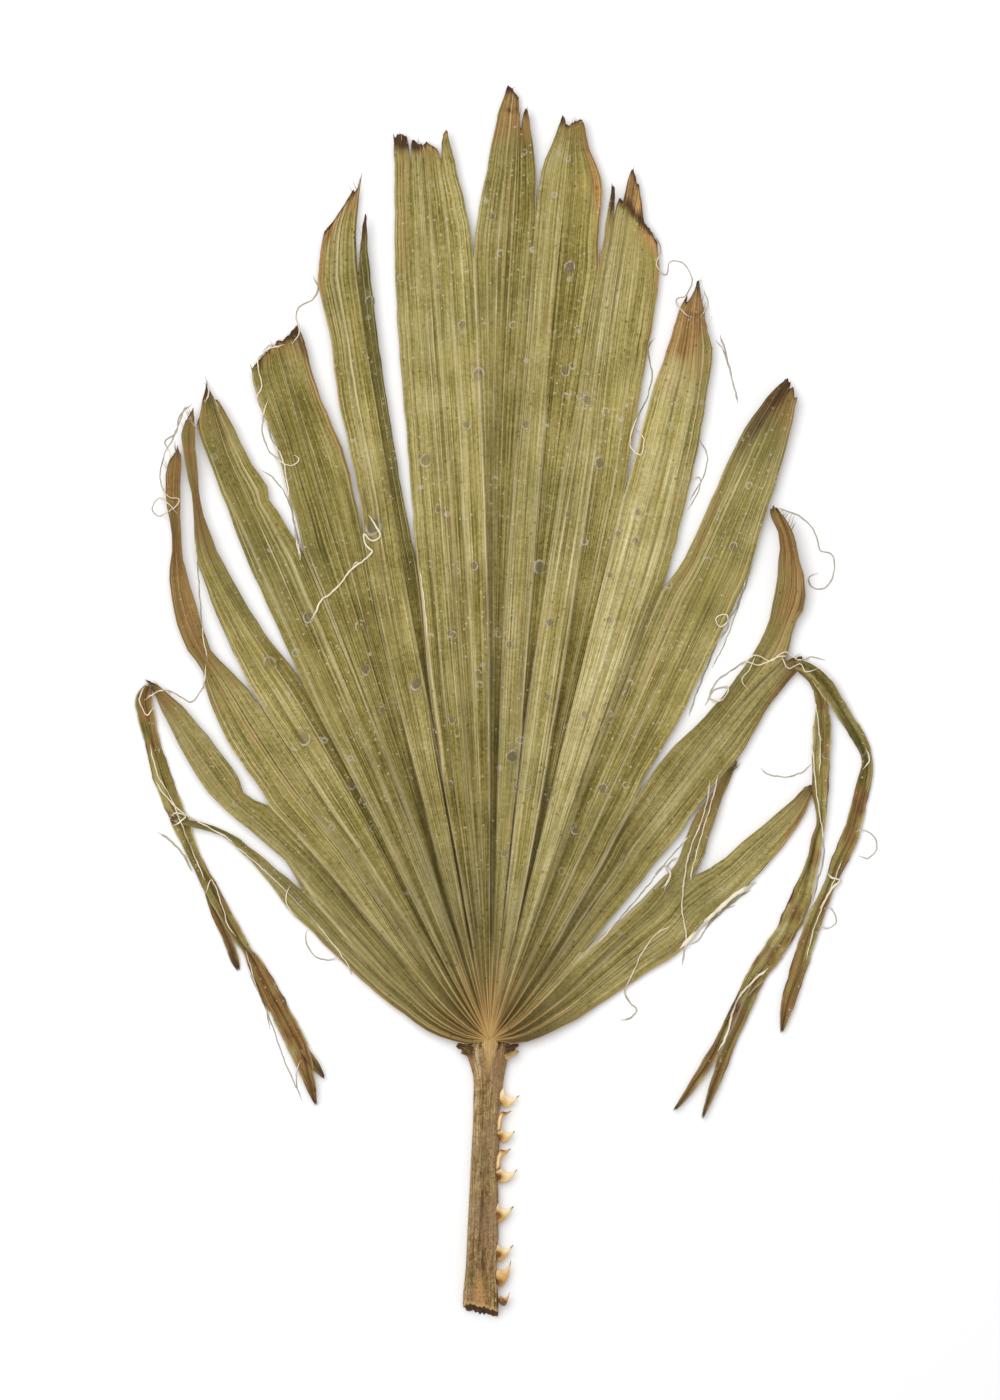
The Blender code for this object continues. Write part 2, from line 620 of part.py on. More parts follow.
def dress(made, name, colour, roughness):
    """Give an object its own material."""
    material = bpy.data.materials.new(name)
    material.use_nodes = True
    shader = material.node_tree.nodes["Principled BSDF"]
    shader.inputs["Base Color"].default_value = (*colour, 1)
    shader.inputs["Roughness"].default_value = roughness
    shader.inputs["Metallic"].default_value = 0
    made.data.materials.clear()
    made.data.materials.append(material)


def main():
    """Build the leaf from its three colours of tissue."""
    for old in list(bpy.data.objects):
        bpy.data.objects.remove(old)
    collection = bpy.data.collections.new(COLLECTION_NAME)
    bpy.context.scene.collection.children.link(collection)
    dress(make_blade(collection), "dried_blade", (0.30, 0.26, 0.10), 0.62)
    dress(make_stalk(collection), "dried_stalk", (0.33, 0.21, 0.11), 0.55)
    dress(make_teeth(collection), "amber_teeth", (0.62, 0.42, 0.20), 0.4)


main()
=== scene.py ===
# Pressed fan palm leaf, dressed for the render.
# The leaf lies face up on the table and points along +Y, with +X to its right and +Z up.

import logging
import math
from dataclasses import dataclass, field
from enum import Enum

import bmesh
import bpy
import numpy as np
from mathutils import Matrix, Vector
from mathutils.bvhtree import BVHTree
from mathutils.interpolate import poly_3d_calc


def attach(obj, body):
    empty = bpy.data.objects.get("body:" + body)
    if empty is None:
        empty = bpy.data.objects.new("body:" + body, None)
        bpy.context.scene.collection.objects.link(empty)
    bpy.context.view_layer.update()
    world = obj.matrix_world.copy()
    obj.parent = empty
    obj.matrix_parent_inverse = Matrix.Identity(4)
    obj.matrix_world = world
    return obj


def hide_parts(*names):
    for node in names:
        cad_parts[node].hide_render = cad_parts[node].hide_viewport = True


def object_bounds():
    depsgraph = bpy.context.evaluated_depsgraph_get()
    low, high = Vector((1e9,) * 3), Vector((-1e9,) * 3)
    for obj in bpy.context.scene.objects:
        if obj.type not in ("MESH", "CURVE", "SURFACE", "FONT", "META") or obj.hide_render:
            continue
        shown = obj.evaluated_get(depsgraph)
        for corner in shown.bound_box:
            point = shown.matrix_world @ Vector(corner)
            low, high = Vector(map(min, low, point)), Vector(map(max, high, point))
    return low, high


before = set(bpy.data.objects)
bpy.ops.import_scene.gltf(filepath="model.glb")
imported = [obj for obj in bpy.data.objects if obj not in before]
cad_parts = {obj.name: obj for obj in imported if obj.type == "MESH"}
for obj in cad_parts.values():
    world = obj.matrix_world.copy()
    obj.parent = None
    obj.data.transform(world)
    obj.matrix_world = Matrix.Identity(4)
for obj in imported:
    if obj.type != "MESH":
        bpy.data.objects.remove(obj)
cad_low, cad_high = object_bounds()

log = logging.getLogger("palm_leaf")

MM = 0.001
BODY = "root"

# Photograph: millimetres per pixel, and the pixel that lies over the origin
PHOTO_SCALE = 0.4
PHOTO_X = 490.0
PHOTO_Y = 1040.0

Knots = tuple[tuple[float, float], ...]
Colour = tuple[float, float, float]
Pixel = tuple[float, float]


class Tone(Enum):
    """Lightness of one half of a segment, from 0 to 1: its own colour together with painted shade,
    darker on steep halves that face away from the light.
    """

    DEEP = 0.22
    DARK = 0.31
    MUTED = 0.39
    MID = 0.47
    LIGHT = 0.55
    PALE = 0.62
    BRIGHT = 0.72


class Tint(Enum):
    """What a line along the blade is drawn in."""

    PALE = "pale"
    # Painted shade along the pleat valleys and folds.
    DARK = "dark"
    RUST = "rust"


class Stain(Enum):
    """What a patch on the blade is stained with."""

    RUST = "rust"
    BURNT = "burnt"


@dataclass(frozen=True)
class Patch:
    """A stained patch: its pixel, half length and half width in millimetres, and its lean."""

    stain: Stain
    x: float
    y: float
    long: float
    wide: float
    lean: float
    strength: float


@dataclass(frozen=True)
class Half:
    """Tone of one half of a segment, its own colour with painted shade in it: near the stalk, further
    out, and how green it is.
    """

    inner: Tone
    outer: Tone
    green: float = 0.0


@dataclass(frozen=True)
class Margin:
    """Edge that two neighbouring segments share, as far as their split."""

    split: float
    line: Knots


@dataclass(frozen=True)
class Segment:
    """One pleat of the fan: edges and fold as (distance, angle), end as (across, distance)."""

    left: Knots
    fold: Knots
    right: Knots
    ends: Knots
    lift: float
    halves: tuple[Half, Half]
    rag: float = 0.9
    stain: float = 6.0
    browning: Knots = ((0, 0),)
    edging: tuple[float, float] = (0.35, 0.35)


@dataclass(frozen=True)
class Crease:
    """A line that runs out along the blade: (distance, angle) knots, half width and strength."""

    tint: Tint
    width: float
    strength: float
    line: Knots


LEFT_EDGE: Knots = (
    (10, -97), (14, -92), (24, -82.5), (36, -73), (48, -68), (60, -63.8), (72, -61),
    (84, -58.5), (96, -57), (108, -54.5), (120, -53.2), (132, -52.6), (144, -54),
    (155, -55.8),
)
RIGHT_EDGE: Knots = (
    (10, 97), (14, 93), (24, 83), (36, 76.4), (48, 71.2), (60, 68.2), (72, 66.2),
    (84, 65), (96, 61.3), (108, 60.6), (120, 59), (132, 57.5), (144, 56), (156, 54),
    (164, 52.2),
)
MARGINS = (
    Margin(96, ((96, -51.4),)),
    Margin(128, ((96, -43.4), (128, -43.3))),
    Margin(160, ((96, -34.9), (160, -34.4))),
    Margin(160, ((96, -27.8), (160, -27.7))),
    Margin(208, ((96, -20.1), (208, -20.9))),
    Margin(208, ((96, -15.5), (180, -14.8), (208, -14.1))),
    Margin(192, ((96, -10.4), (120, -10.2), (150, -9.6), (180, -8.8), (192, -8.7))),
    Margin(312, ((96, -0.2), (180, -0.4), (280, -1.0), (312, -1.2))),
    Margin(330, ((96, 1.8), (180, 2.1), (280, 3.0), (330, 3.2))),
    Margin(312, ((96, 6.4), (180, 7.0), (230, 7.5), (312, 8.0))),
    Margin(224, ((96, 13.8), (224, 13.8))),
    Margin(192, ((96, 20.5), (192, 20.9))),
    Margin(112, ((96, 30.9), (112, 31.0))),
    Margin(192, ((96, 36.2), (120, 36.4), (180, 37.2), (192, 37.8))),
    Margin(50, ((50, 42.0),)),
    Margin(104, ((80, 50.6), (96, 51.2), (104, 51.0))),
)
SEGMENTS = (
    Segment(
        (),
        ((96, -54), (108, -52.9), (120, -52.2), (132, -52), (144, -53.4), (155, -55.3)),
        ((96, -51.4), (120, -51.2), (132, -51.4), (144, -52.8), (155, -54.8)),
        ((0, 154), (0.25, 155), (0.5, 156), (0.8, 156), (1, 155)), 1.9,
        (Half(Tone.BRIGHT, Tone.BRIGHT), Half(Tone.MID, Tone.PALE)),
        rag=0.4, stain=4, browning=((120, 0), (150, 0.35)),
    ),
    Segment(
        ((96, -51.4), (104, -49.4), (112, -48.7), (144, -48.9), (156, -48.1),
         (168, -46.8), (180, -45.5), (192, -44.2), (198, -43.8)),
        ((96, -46.8), (120, -46.6), (138, -46.9), (156, -45.9), (180, -44.3), (198, -43.6)),
        ((128, -43.3), (133, -44), (138, -45.1), (145, -43.8), (156, -43.2), (180, -42.6),
         (192, -43), (197, -43.3)),
        ((0, 197), (0.25, 198.5), (0.5, 199), (0.8, 198), (1, 196)), 1.6,
        (Half(Tone.LIGHT, Tone.BRIGHT), Half(Tone.MID, Tone.LIGHT)),
        rag=0.3, stain=7, browning=((140, 0), (180, 0.25), (195, 0.95)),
    ),
    Segment(
        ((128, -43.3), (136, -42.5), (156, -41.5), (180, -39), (190, -37.7), (197, -37.8),
         (204, -37.3), (215, -36.1), (226, -34.5), (231, -33.4), (240, -32), (252, -30.9),
         (262, -29.5), (269, -27.8)),
        ((96, -38.2), (120, -38.2), (156, -37.4), (180, -36.6), (194, -36.5), (215, -34.9),
         (230, -32.9), (250, -30.3), (269, -27.6)),
        ((160, -34.4), (176, -34.8), (191, -35.6), (198, -35.1), (210, -34), (222, -33),
         (229, -32.4), (238, -31.2), (249, -29.8), (259, -28.4), (269, -27.4)),
        ((0, 265), (0.25, 267), (0.5, 269), (0.75, 267), (1, 265)), 3.0,
        (Half(Tone.PALE, Tone.MID), Half(Tone.LIGHT, Tone.MID)),
        rag=0.8, stain=8, browning=((150, 0), (185, 0.4), (205, 0.65), (260, 0.75)),
    ),
    Segment(
        ((160, -34.4), (168, -34.2), (192, -33.2), (216, -31.9), (228, -31.1), (236, -30),
         (247, -28.8), (258, -28), (273, -26.7), (280, -25.2)),
        ((96, -29.3), (160, -29.5), (180, -30), (204, -30.3), (228, -29.9), (236, -29.3),
         (247, -28.4), (272, -26.2), (280, -25)),
        ((160, -27.7), (168, -27.9), (180, -28.7), (204, -29.2), (228, -29), (236, -28.7),
         (245, -28.2), (256, -27.1), (272, -25.7), (280, -24.8)),
        ((0, 276), (0.25, 278), (0.5, 280), (0.75, 278), (1, 275)), 4.0,
        (Half(Tone.LIGHT, Tone.PALE), Half(Tone.DARK, Tone.LIGHT)),
        rag=0.8, stain=8, browning=((215, 0), (232, 0.5), (270, 0.7)),
    ),
    Segment(
        ((160, -27.7), (180, -27.3), (216, -26.8), (240, -26.2), (264, -25.7), (272, -25.5),
         (282, -24.1), (287, -23.4)),
        ((96, -25.2), (180, -24.9), (230, -24.5), (260, -24.3), (287, -23.3)),
        ((208, -20.9), (219, -21.5), (226, -21.8), (233, -22.2), (239, -21.9), (246, -22.3),
         (266, -22.7), (280, -23), (287, -23.1)),
        ((0, 273), (0.08, 275), (0.12, 281), (0.22, 283.5), (0.36, 285.5), (0.5, 287),
         (0.62, 285), (0.74, 281), (0.8, 279.2), (0.9, 278.6), (0.97, 277.5), (1, 275)), 2.5,
        (Half(Tone.LIGHT, Tone.MID), Half(Tone.MUTED, Tone.MID, 0.15)),
        rag=0.66, stain=8, browning=((250, 0), (280, 0.5)),
    ),
    Segment(
        ((208, -20.9), (216, -20.6), (240, -20.1), (252, -19.8), (276, -19.9), (284, -19.5),
         (288, -19)),
        ((96, -17.6), (208, -17.3), (290, -17)),
        ((208, -14.1), (216, -14), (240, -13.9), (252, -14.3), (276, -14.9), (295, -14.8)),
        ((0, 285), (0.03, 286.5), (0.15, 288.5), (0.3, 290), (0.45, 291.5), (0.52, 292.6),
         (0.6, 292), (0.75, 293.5), (0.87, 295.5), (0.95, 296.5), (1, 289)), 2.0,
        (Half(Tone.MID, Tone.MID, 0.4), Half(Tone.DARK, Tone.MID, 0.3)),
        rag=0.61, stain=4, browning=((280, 0), (290, 0.5)),
        edging=(0.4, 0.8),
    ),
    Segment(
        ((208, -14.1), (216, -13.7), (240, -13.4), (264, -13.3), (288, -12.8), (312, -12.7),
         (324, -12), (336, -10.9), (346, -9.5), (352, -8.6)),
        ((40, -11.7), (60, -11.2), (96, -10.8), (120, -10.5), (140, -10.4), (180, -10.4),
         (240, -10.15), (300, -9.95), (311, -9.85), (330, -9.4), (342, -8.8), (352, -8.3)),
        ((192, -8.7), (204, -8.9), (228, -9.15), (276, -9.1), (300, -8.95), (324, -8.7),
         (335, -8.45), (352, -8.1)),
        ((0, 330), (0.1, 334), (0.2, 339), (0.26, 343), (0.3, 344.8), (0.36, 343.6), (0.42, 345),
         (0.46, 349), (0.49, 352), (0.505, 349), (0.52, 330), (0.535, 311), (0.6, 314.5),
         (0.7, 321), (0.83, 330), (0.95, 334.6), (1, 333.4)), 3.0,
        (Half(Tone.LIGHT, Tone.LIGHT), Half(Tone.DEEP, Tone.DARK, 0.6)),
        rag=0.66, stain=6, browning=((315, 0), (335, 0.35), (350, 0.9)),
        edging=(0.85, 0.3),
    ),
    Segment(
        ((192, -8.7), (204, -8.5), (240, -7.9), (276, -7.5), (312, -7), (336, -6.5),
         (360, -6.1)),
        ((96, -4.9), (240, -4.6), (361, -4.4)),
        ((312, -1.2), (324, -1.4), (348, -2.2), (364, -2.7)),
        ((0, 364.6), (0.04, 363), (0.08, 364.6), (0.16, 364.4), (0.26, 362.8), (0.28, 357),
         (0.295, 350.5), (0.31, 357), (0.325, 362), (0.4, 361), (0.5, 359.6), (0.55, 359.4),
         (0.6, 360.7), (0.66, 359), (0.77, 357.6), (0.785, 354), (0.8, 351.5), (0.82, 355),
         (0.86, 360), (0.92, 363), (0.98, 364.6), (1, 363.8)), 1.5,
        (Half(Tone.MUTED, Tone.LIGHT, 0.1), Half(Tone.MUTED, Tone.LIGHT, 0.1)),
        rag=0.8, stain=5, browning=((330, 0), (360, 0.3)),
    ),
    Segment(
        ((312, -1.2), (324, -1), (348, -0.2), (372, 0.6), (380, 1)),
        ((96, 0.7), (280, 1), (368, 1.6)),
        ((330, 3.2), (348, 3), (360, 2.7), (372, 2.3)),
        ((0, 381), (0.08, 382), (0.2, 381.2), (0.32, 380.6), (0.4, 379.2), (0.52, 378.4),
         (0.6, 377.4), (0.64, 372), (0.66, 368), (0.69, 364), (0.74, 368.5), (0.82, 371.3),
         (0.9, 372.6), (0.97, 373), (1, 371.6)), 2.5,
        (Half(Tone.LIGHT, Tone.LIGHT, 0.1), Half(Tone.DARK, Tone.MUTED, 0.1)),
        rag=0.61, stain=7, browning=((345, 0), (365, 0.5), (380, 0.9)),
        edging=(0.3, 0.6),
    ),
    Segment(
        ((330, 3.2), (348, 3.4), (360, 4), (368, 4.4)),
        ((40, 6.8), (80, 6.2), (120, 5.95), (140, 5.7), (180, 5.4), (273, 5), (364, 5.1)),
        ((312, 8), (324, 7.7), (348, 7.3), (358, 6.4), (369, 5.8)),
        ((0, 369), (0.05, 371), (0.12, 370.6), (0.2, 369.4), (0.25, 367.8), (0.42, 367.2),
         (0.5, 368.4), (0.66, 369.2), (0.8, 369.8), (0.92, 370), (1, 368.4)), 1.8,
        (Half(Tone.LIGHT, Tone.PALE), Half(Tone.DEEP, Tone.MID)),
        rag=0.55, stain=4, browning=((350, 0), (370, 0.4)),
        edging=(0.35, 1.0),
    ),
    Segment(
        ((312, 8), (324, 8.05), (345, 8.1)),
        ((40, 13.5), (60, 12.9), (80, 12.3), (100, 11.9), (120, 11.5), (160, 11.0), (180, 10.8),
         (232, 10.3), (272, 9.7), (352, 9.4)),
        ((224, 13.8), (240, 13.5), (264, 13.1), (300, 12.7), (312, 12.5), (327, 11.8)),
        ((0, 346.6), (0.03, 345), (0.08, 345), (0.12, 341), (0.16, 336.5), (0.18, 332.5),
         (0.2, 337), (0.22, 340.5), (0.27, 341), (0.34, 340), (0.36, 344), (0.39, 350),
         (0.43, 352.4), (0.48, 354), (0.52, 351.4), (0.56, 348.2), (0.6, 347.8), (0.64, 343.5),
         (0.7, 338.4), (0.76, 333), (0.85, 331), (0.93, 329), (1, 326)), 3.0,
        (Half(Tone.PALE, Tone.PALE, 0.1), Half(Tone.DEEP, Tone.LIGHT, 0.1)),
        rag=0.88, stain=5, browning=((315, 0), (340, 0.45), (350, 0.9)),
        edging=(0.3, 0.9),
    ),
    Segment(
        ((224, 13.8), (240, 13.95), (264, 14), (288, 14.4), (300, 14.5), (312, 15)),
        ((96, 19.2), (192, 19.4), (240, 18.4), (276, 17.4), (314, 15.4)),
        ((192, 20.9), (204, 20.7), (228, 20), (252, 19.3), (276, 18.4), (288, 18),
         (300, 16.7), (314, 15.6)),
        ((0, 308.6), (0.06, 307.4), (0.13, 305.6), (0.2, 310), (0.32, 314.8), (0.45, 315.6),
         (0.6, 314), (0.75, 311.6), (0.86, 308), (0.95, 304), (1, 299)), 1.5,
        (Half(Tone.BRIGHT, Tone.BRIGHT), Half(Tone.LIGHT, Tone.PALE)),
        rag=0.66, stain=7, browning=((240, 0), (275, 0.3), (292, 0.5), (310, 0.7)),
        edging=(0.4, 0.5),
    ),
    Segment(
        ((192, 20.9), (204, 21.8), (228, 22.2), (264, 22.6), (276, 23.1), (288, 23.9)),
        ((96, 25.5), (120, 25.5), (180, 25.1), (284, 24.6)),
        ((112, 31), (122, 30.5), (144, 30.6), (168, 30), (192, 29.5), (216, 28.9),
         (228, 28.1), (252, 27.1), (276, 26), (284, 25.6)),
        ((0, 287), (0.1, 289.6), (0.22, 290.4), (0.36, 289.4), (0.5, 289.2), (0.54, 286.6),
         (0.62, 287.8), (0.7, 287.6), (0.78, 286), (0.88, 284.4), (0.96, 285.2), (1, 283.6)), 2.0,
        (Half(Tone.MUTED, Tone.LIGHT, 0.1), Half(Tone.MID, Tone.LIGHT, 0.2)),
        rag=0.61, stain=9, browning=((240, 0), (262, 0.25), (285, 0.7)),
    ),
    Segment(
        ((112, 31), (122, 31.2), (132, 31.5), (144, 32.6), (156, 33.6), (180, 34.2),
         (196, 34), (209, 32.8), (222, 31.2), (233, 29.6), (238, 28), (242, 27.6)),
        ((96, 34.2), (120, 34.3), (180, 35.5), (208, 34.6), (224, 32.6), (236, 30), (242, 28)),
        ((192, 37.8), (196, 37.4), (208, 36.1), (213, 36), (224, 34), (228, 32.8),
         (236, 30.8), (242, 28.4)),
        ((0, 240), (0.25, 242), (0.75, 242), (1, 240)), 5.0,
        (Half(Tone.LIGHT, Tone.PALE), Half(Tone.MID, Tone.PALE)),
        rag=0.8, stain=7, browning=((165, 0), (190, 0.2), (215, 0.4), (240, 0.75)),
    ),
    Segment(
        ((192, 37.8), (196, 38.6)),
        ((96, 39.4), (120, 39.3), (180, 38.9), (196, 39.1)),
        ((50, 46.5), (64, 45), (72, 44.4), (84, 43.8), (96, 43), (108, 42.8), (120, 41.9),
         (132, 41.4), (156, 41), (168, 40.1), (196, 39.7)),
        ((0, 195), (0.25, 197), (0.5, 198), (0.75, 197), (1, 196)), 2.4,
        (Half(Tone.PALE, Tone.PALE), Half(Tone.LIGHT, Tone.LIGHT)),
        rag=0.3, stain=4, browning=((165, 0), (195, 0.3)),
    ),
    Segment(
        ((50, 46.5), (64, 47), (72, 47.2), (84, 47), (96, 46.7), (100, 46.9), (108, 45.2),
         (120, 42.5), (132, 41.9), (149, 41)),
        ((80, 48.9), (96, 49.2), (104, 48.6), (108, 47.8), (120, 44.8), (132, 43),
         (149, 41.4)),
        ((104, 51), (106, 50.7), (108, 50.4), (120, 47), (132, 44.2), (142, 42.6),
         (149, 41.7)),
        ((0, 147), (0.25, 149), (0.75, 149), (1, 148)), 0.0,
        (Half(Tone.PALE, Tone.DARK), Half(Tone.PALE, Tone.DARK)),
        rag=0.3, stain=2, browning=((100, 0), (125, 0.5)),
    ),
    Segment(
        ((104, 51), (106, 51.3), (108, 51.6), (132, 51.8), (156, 51.4), (164, 51.1)),
        ((80, 56.4), (96, 56.8), (108, 56.4), (132, 54.8), (156, 52.9), (164, 51.7)),
        (),
        ((0, 162), (0.25, 164), (0.5, 165), (0.75, 164), (1, 162)), 0.0,
        (Half(Tone.LIGHT, Tone.BRIGHT), Half(Tone.PALE, Tone.BRIGHT)),
        rag=0.8, stain=4, browning=((120, 0), (160, 0.25)),
    ),
)
PATCHES = (
    Patch(Stain.BURNT, 757, 425, 17, 4.2, 32, 0.6), Patch(Stain.BURNT, 782, 392, 8, 2.4, 30, 0.5),
    Patch(Stain.BURNT, 511, 111, 1.2, 3.6, 0, 0.6), Patch(Stain.BURNT, 509, 89, 2.4, 1.6, 0, 0.6),
    Patch(Stain.BURNT, 526, 116, 4, 1.0, 0, 0.4), Patch(Stain.BURNT, 402, 142, 4.4, 4, 0, 0.75),
    Patch(Stain.BURNT, 417, 144, 3.4, 3, 0, 0.75), Patch(Stain.BURNT, 562, 121, 3.4, 1.8, 0, 0.6),
    Patch(Stain.BURNT, 587, 147, 2, 2, 0, 0.4), Patch(Stain.BURNT, 612, 202, 9, 1.4, 5, 0.7),
    Patch(Stain.BURNT, 634, 214, 12, 1.7, -42, 0.8), Patch(Stain.BURNT, 633, 190, 8, 0.8, 4, 0.5),
    Patch(Stain.BURNT, 338, 209, 15, 1.0, 28, 0.5), Patch(Stain.BURNT, 365, 227, 7, 1.2, 5, 0.6),
    Patch(Stain.BURNT, 259, 366, 3, 2, 30, 0.5), Patch(Stain.BURNT, 293, 334, 4, 3, 40, 0.6),
    Patch(Stain.BURNT, 305, 352, 8, 1.1, -20, 0.45), Patch(Stain.BURNT, 692, 314, 0.9, 6, 0, 0.42),
    Patch(Stain.BURNT, 697, 285, 3, 1.5, 0, 0.6), Patch(Stain.BURNT, 686, 299, 3, 1.5, 0, 0.5),
    Patch(Stain.BURNT, 801, 600, 14, 1, 10, 0.5), Patch(Stain.BURNT, 788, 680, 8, 1.2, 35, 0.35),
    Patch(Stain.BURNT, 668, 950, 16, 2.0, 52, 0.35), Patch(Stain.BURNT, 205, 395, 6, 2, -20, 0.5),
    Patch(Stain.BURNT, 659, 252, 5, 0.9, -10, 0.6), Patch(Stain.BURNT, 148, 684, 3, 3, 0, 0.45),
    Patch(Stain.RUST, 341, 206, 17, 2.4, 28, 0.9), Patch(Stain.RUST, 322, 268, 12, 1.2, -2, 0.6),
    Patch(Stain.RUST, 361, 183, 7, 2.8, 20, 0.8), Patch(Stain.RUST, 324, 404, 24, 1.7, -20, 0.75),
    Patch(Stain.RUST, 596, 182, 16, 2.4, -11, 0.85), Patch(Stain.RUST, 600, 255, 16, 1.4, 1, 0.55),
    Patch(Stain.RUST, 652, 240, 9, 2.4, -30, 0.8), Patch(Stain.RUST, 658, 280, 12, 1.2, 2, 0.7),
    Patch(Stain.RUST, 694, 315, 11, 7, 10, 0.55), Patch(Stain.RUST, 669, 340, 13, 1.6, 18, 0.6),
    Patch(Stain.RUST, 403, 250, 30, 2.0, 0, 0.45), Patch(Stain.RUST, 633, 186, 9, 3, 0, 0.8),
    Patch(Stain.RUST, 790, 600, 22, 4, 12, 0.35), Patch(Stain.RUST, 773, 700, 18, 1.6, 35, 0.7),
    Patch(Stain.RUST, 796, 786, 14, 3.4, 42, 0.4), Patch(Stain.RUST, 784, 843, 16, 1.4, 33, 0.7),
    Patch(Stain.RUST, 240, 790, 8, 2, -40, 0.5), Patch(Stain.RUST, 515, 100, 9, 4, 0, 0.45),
)
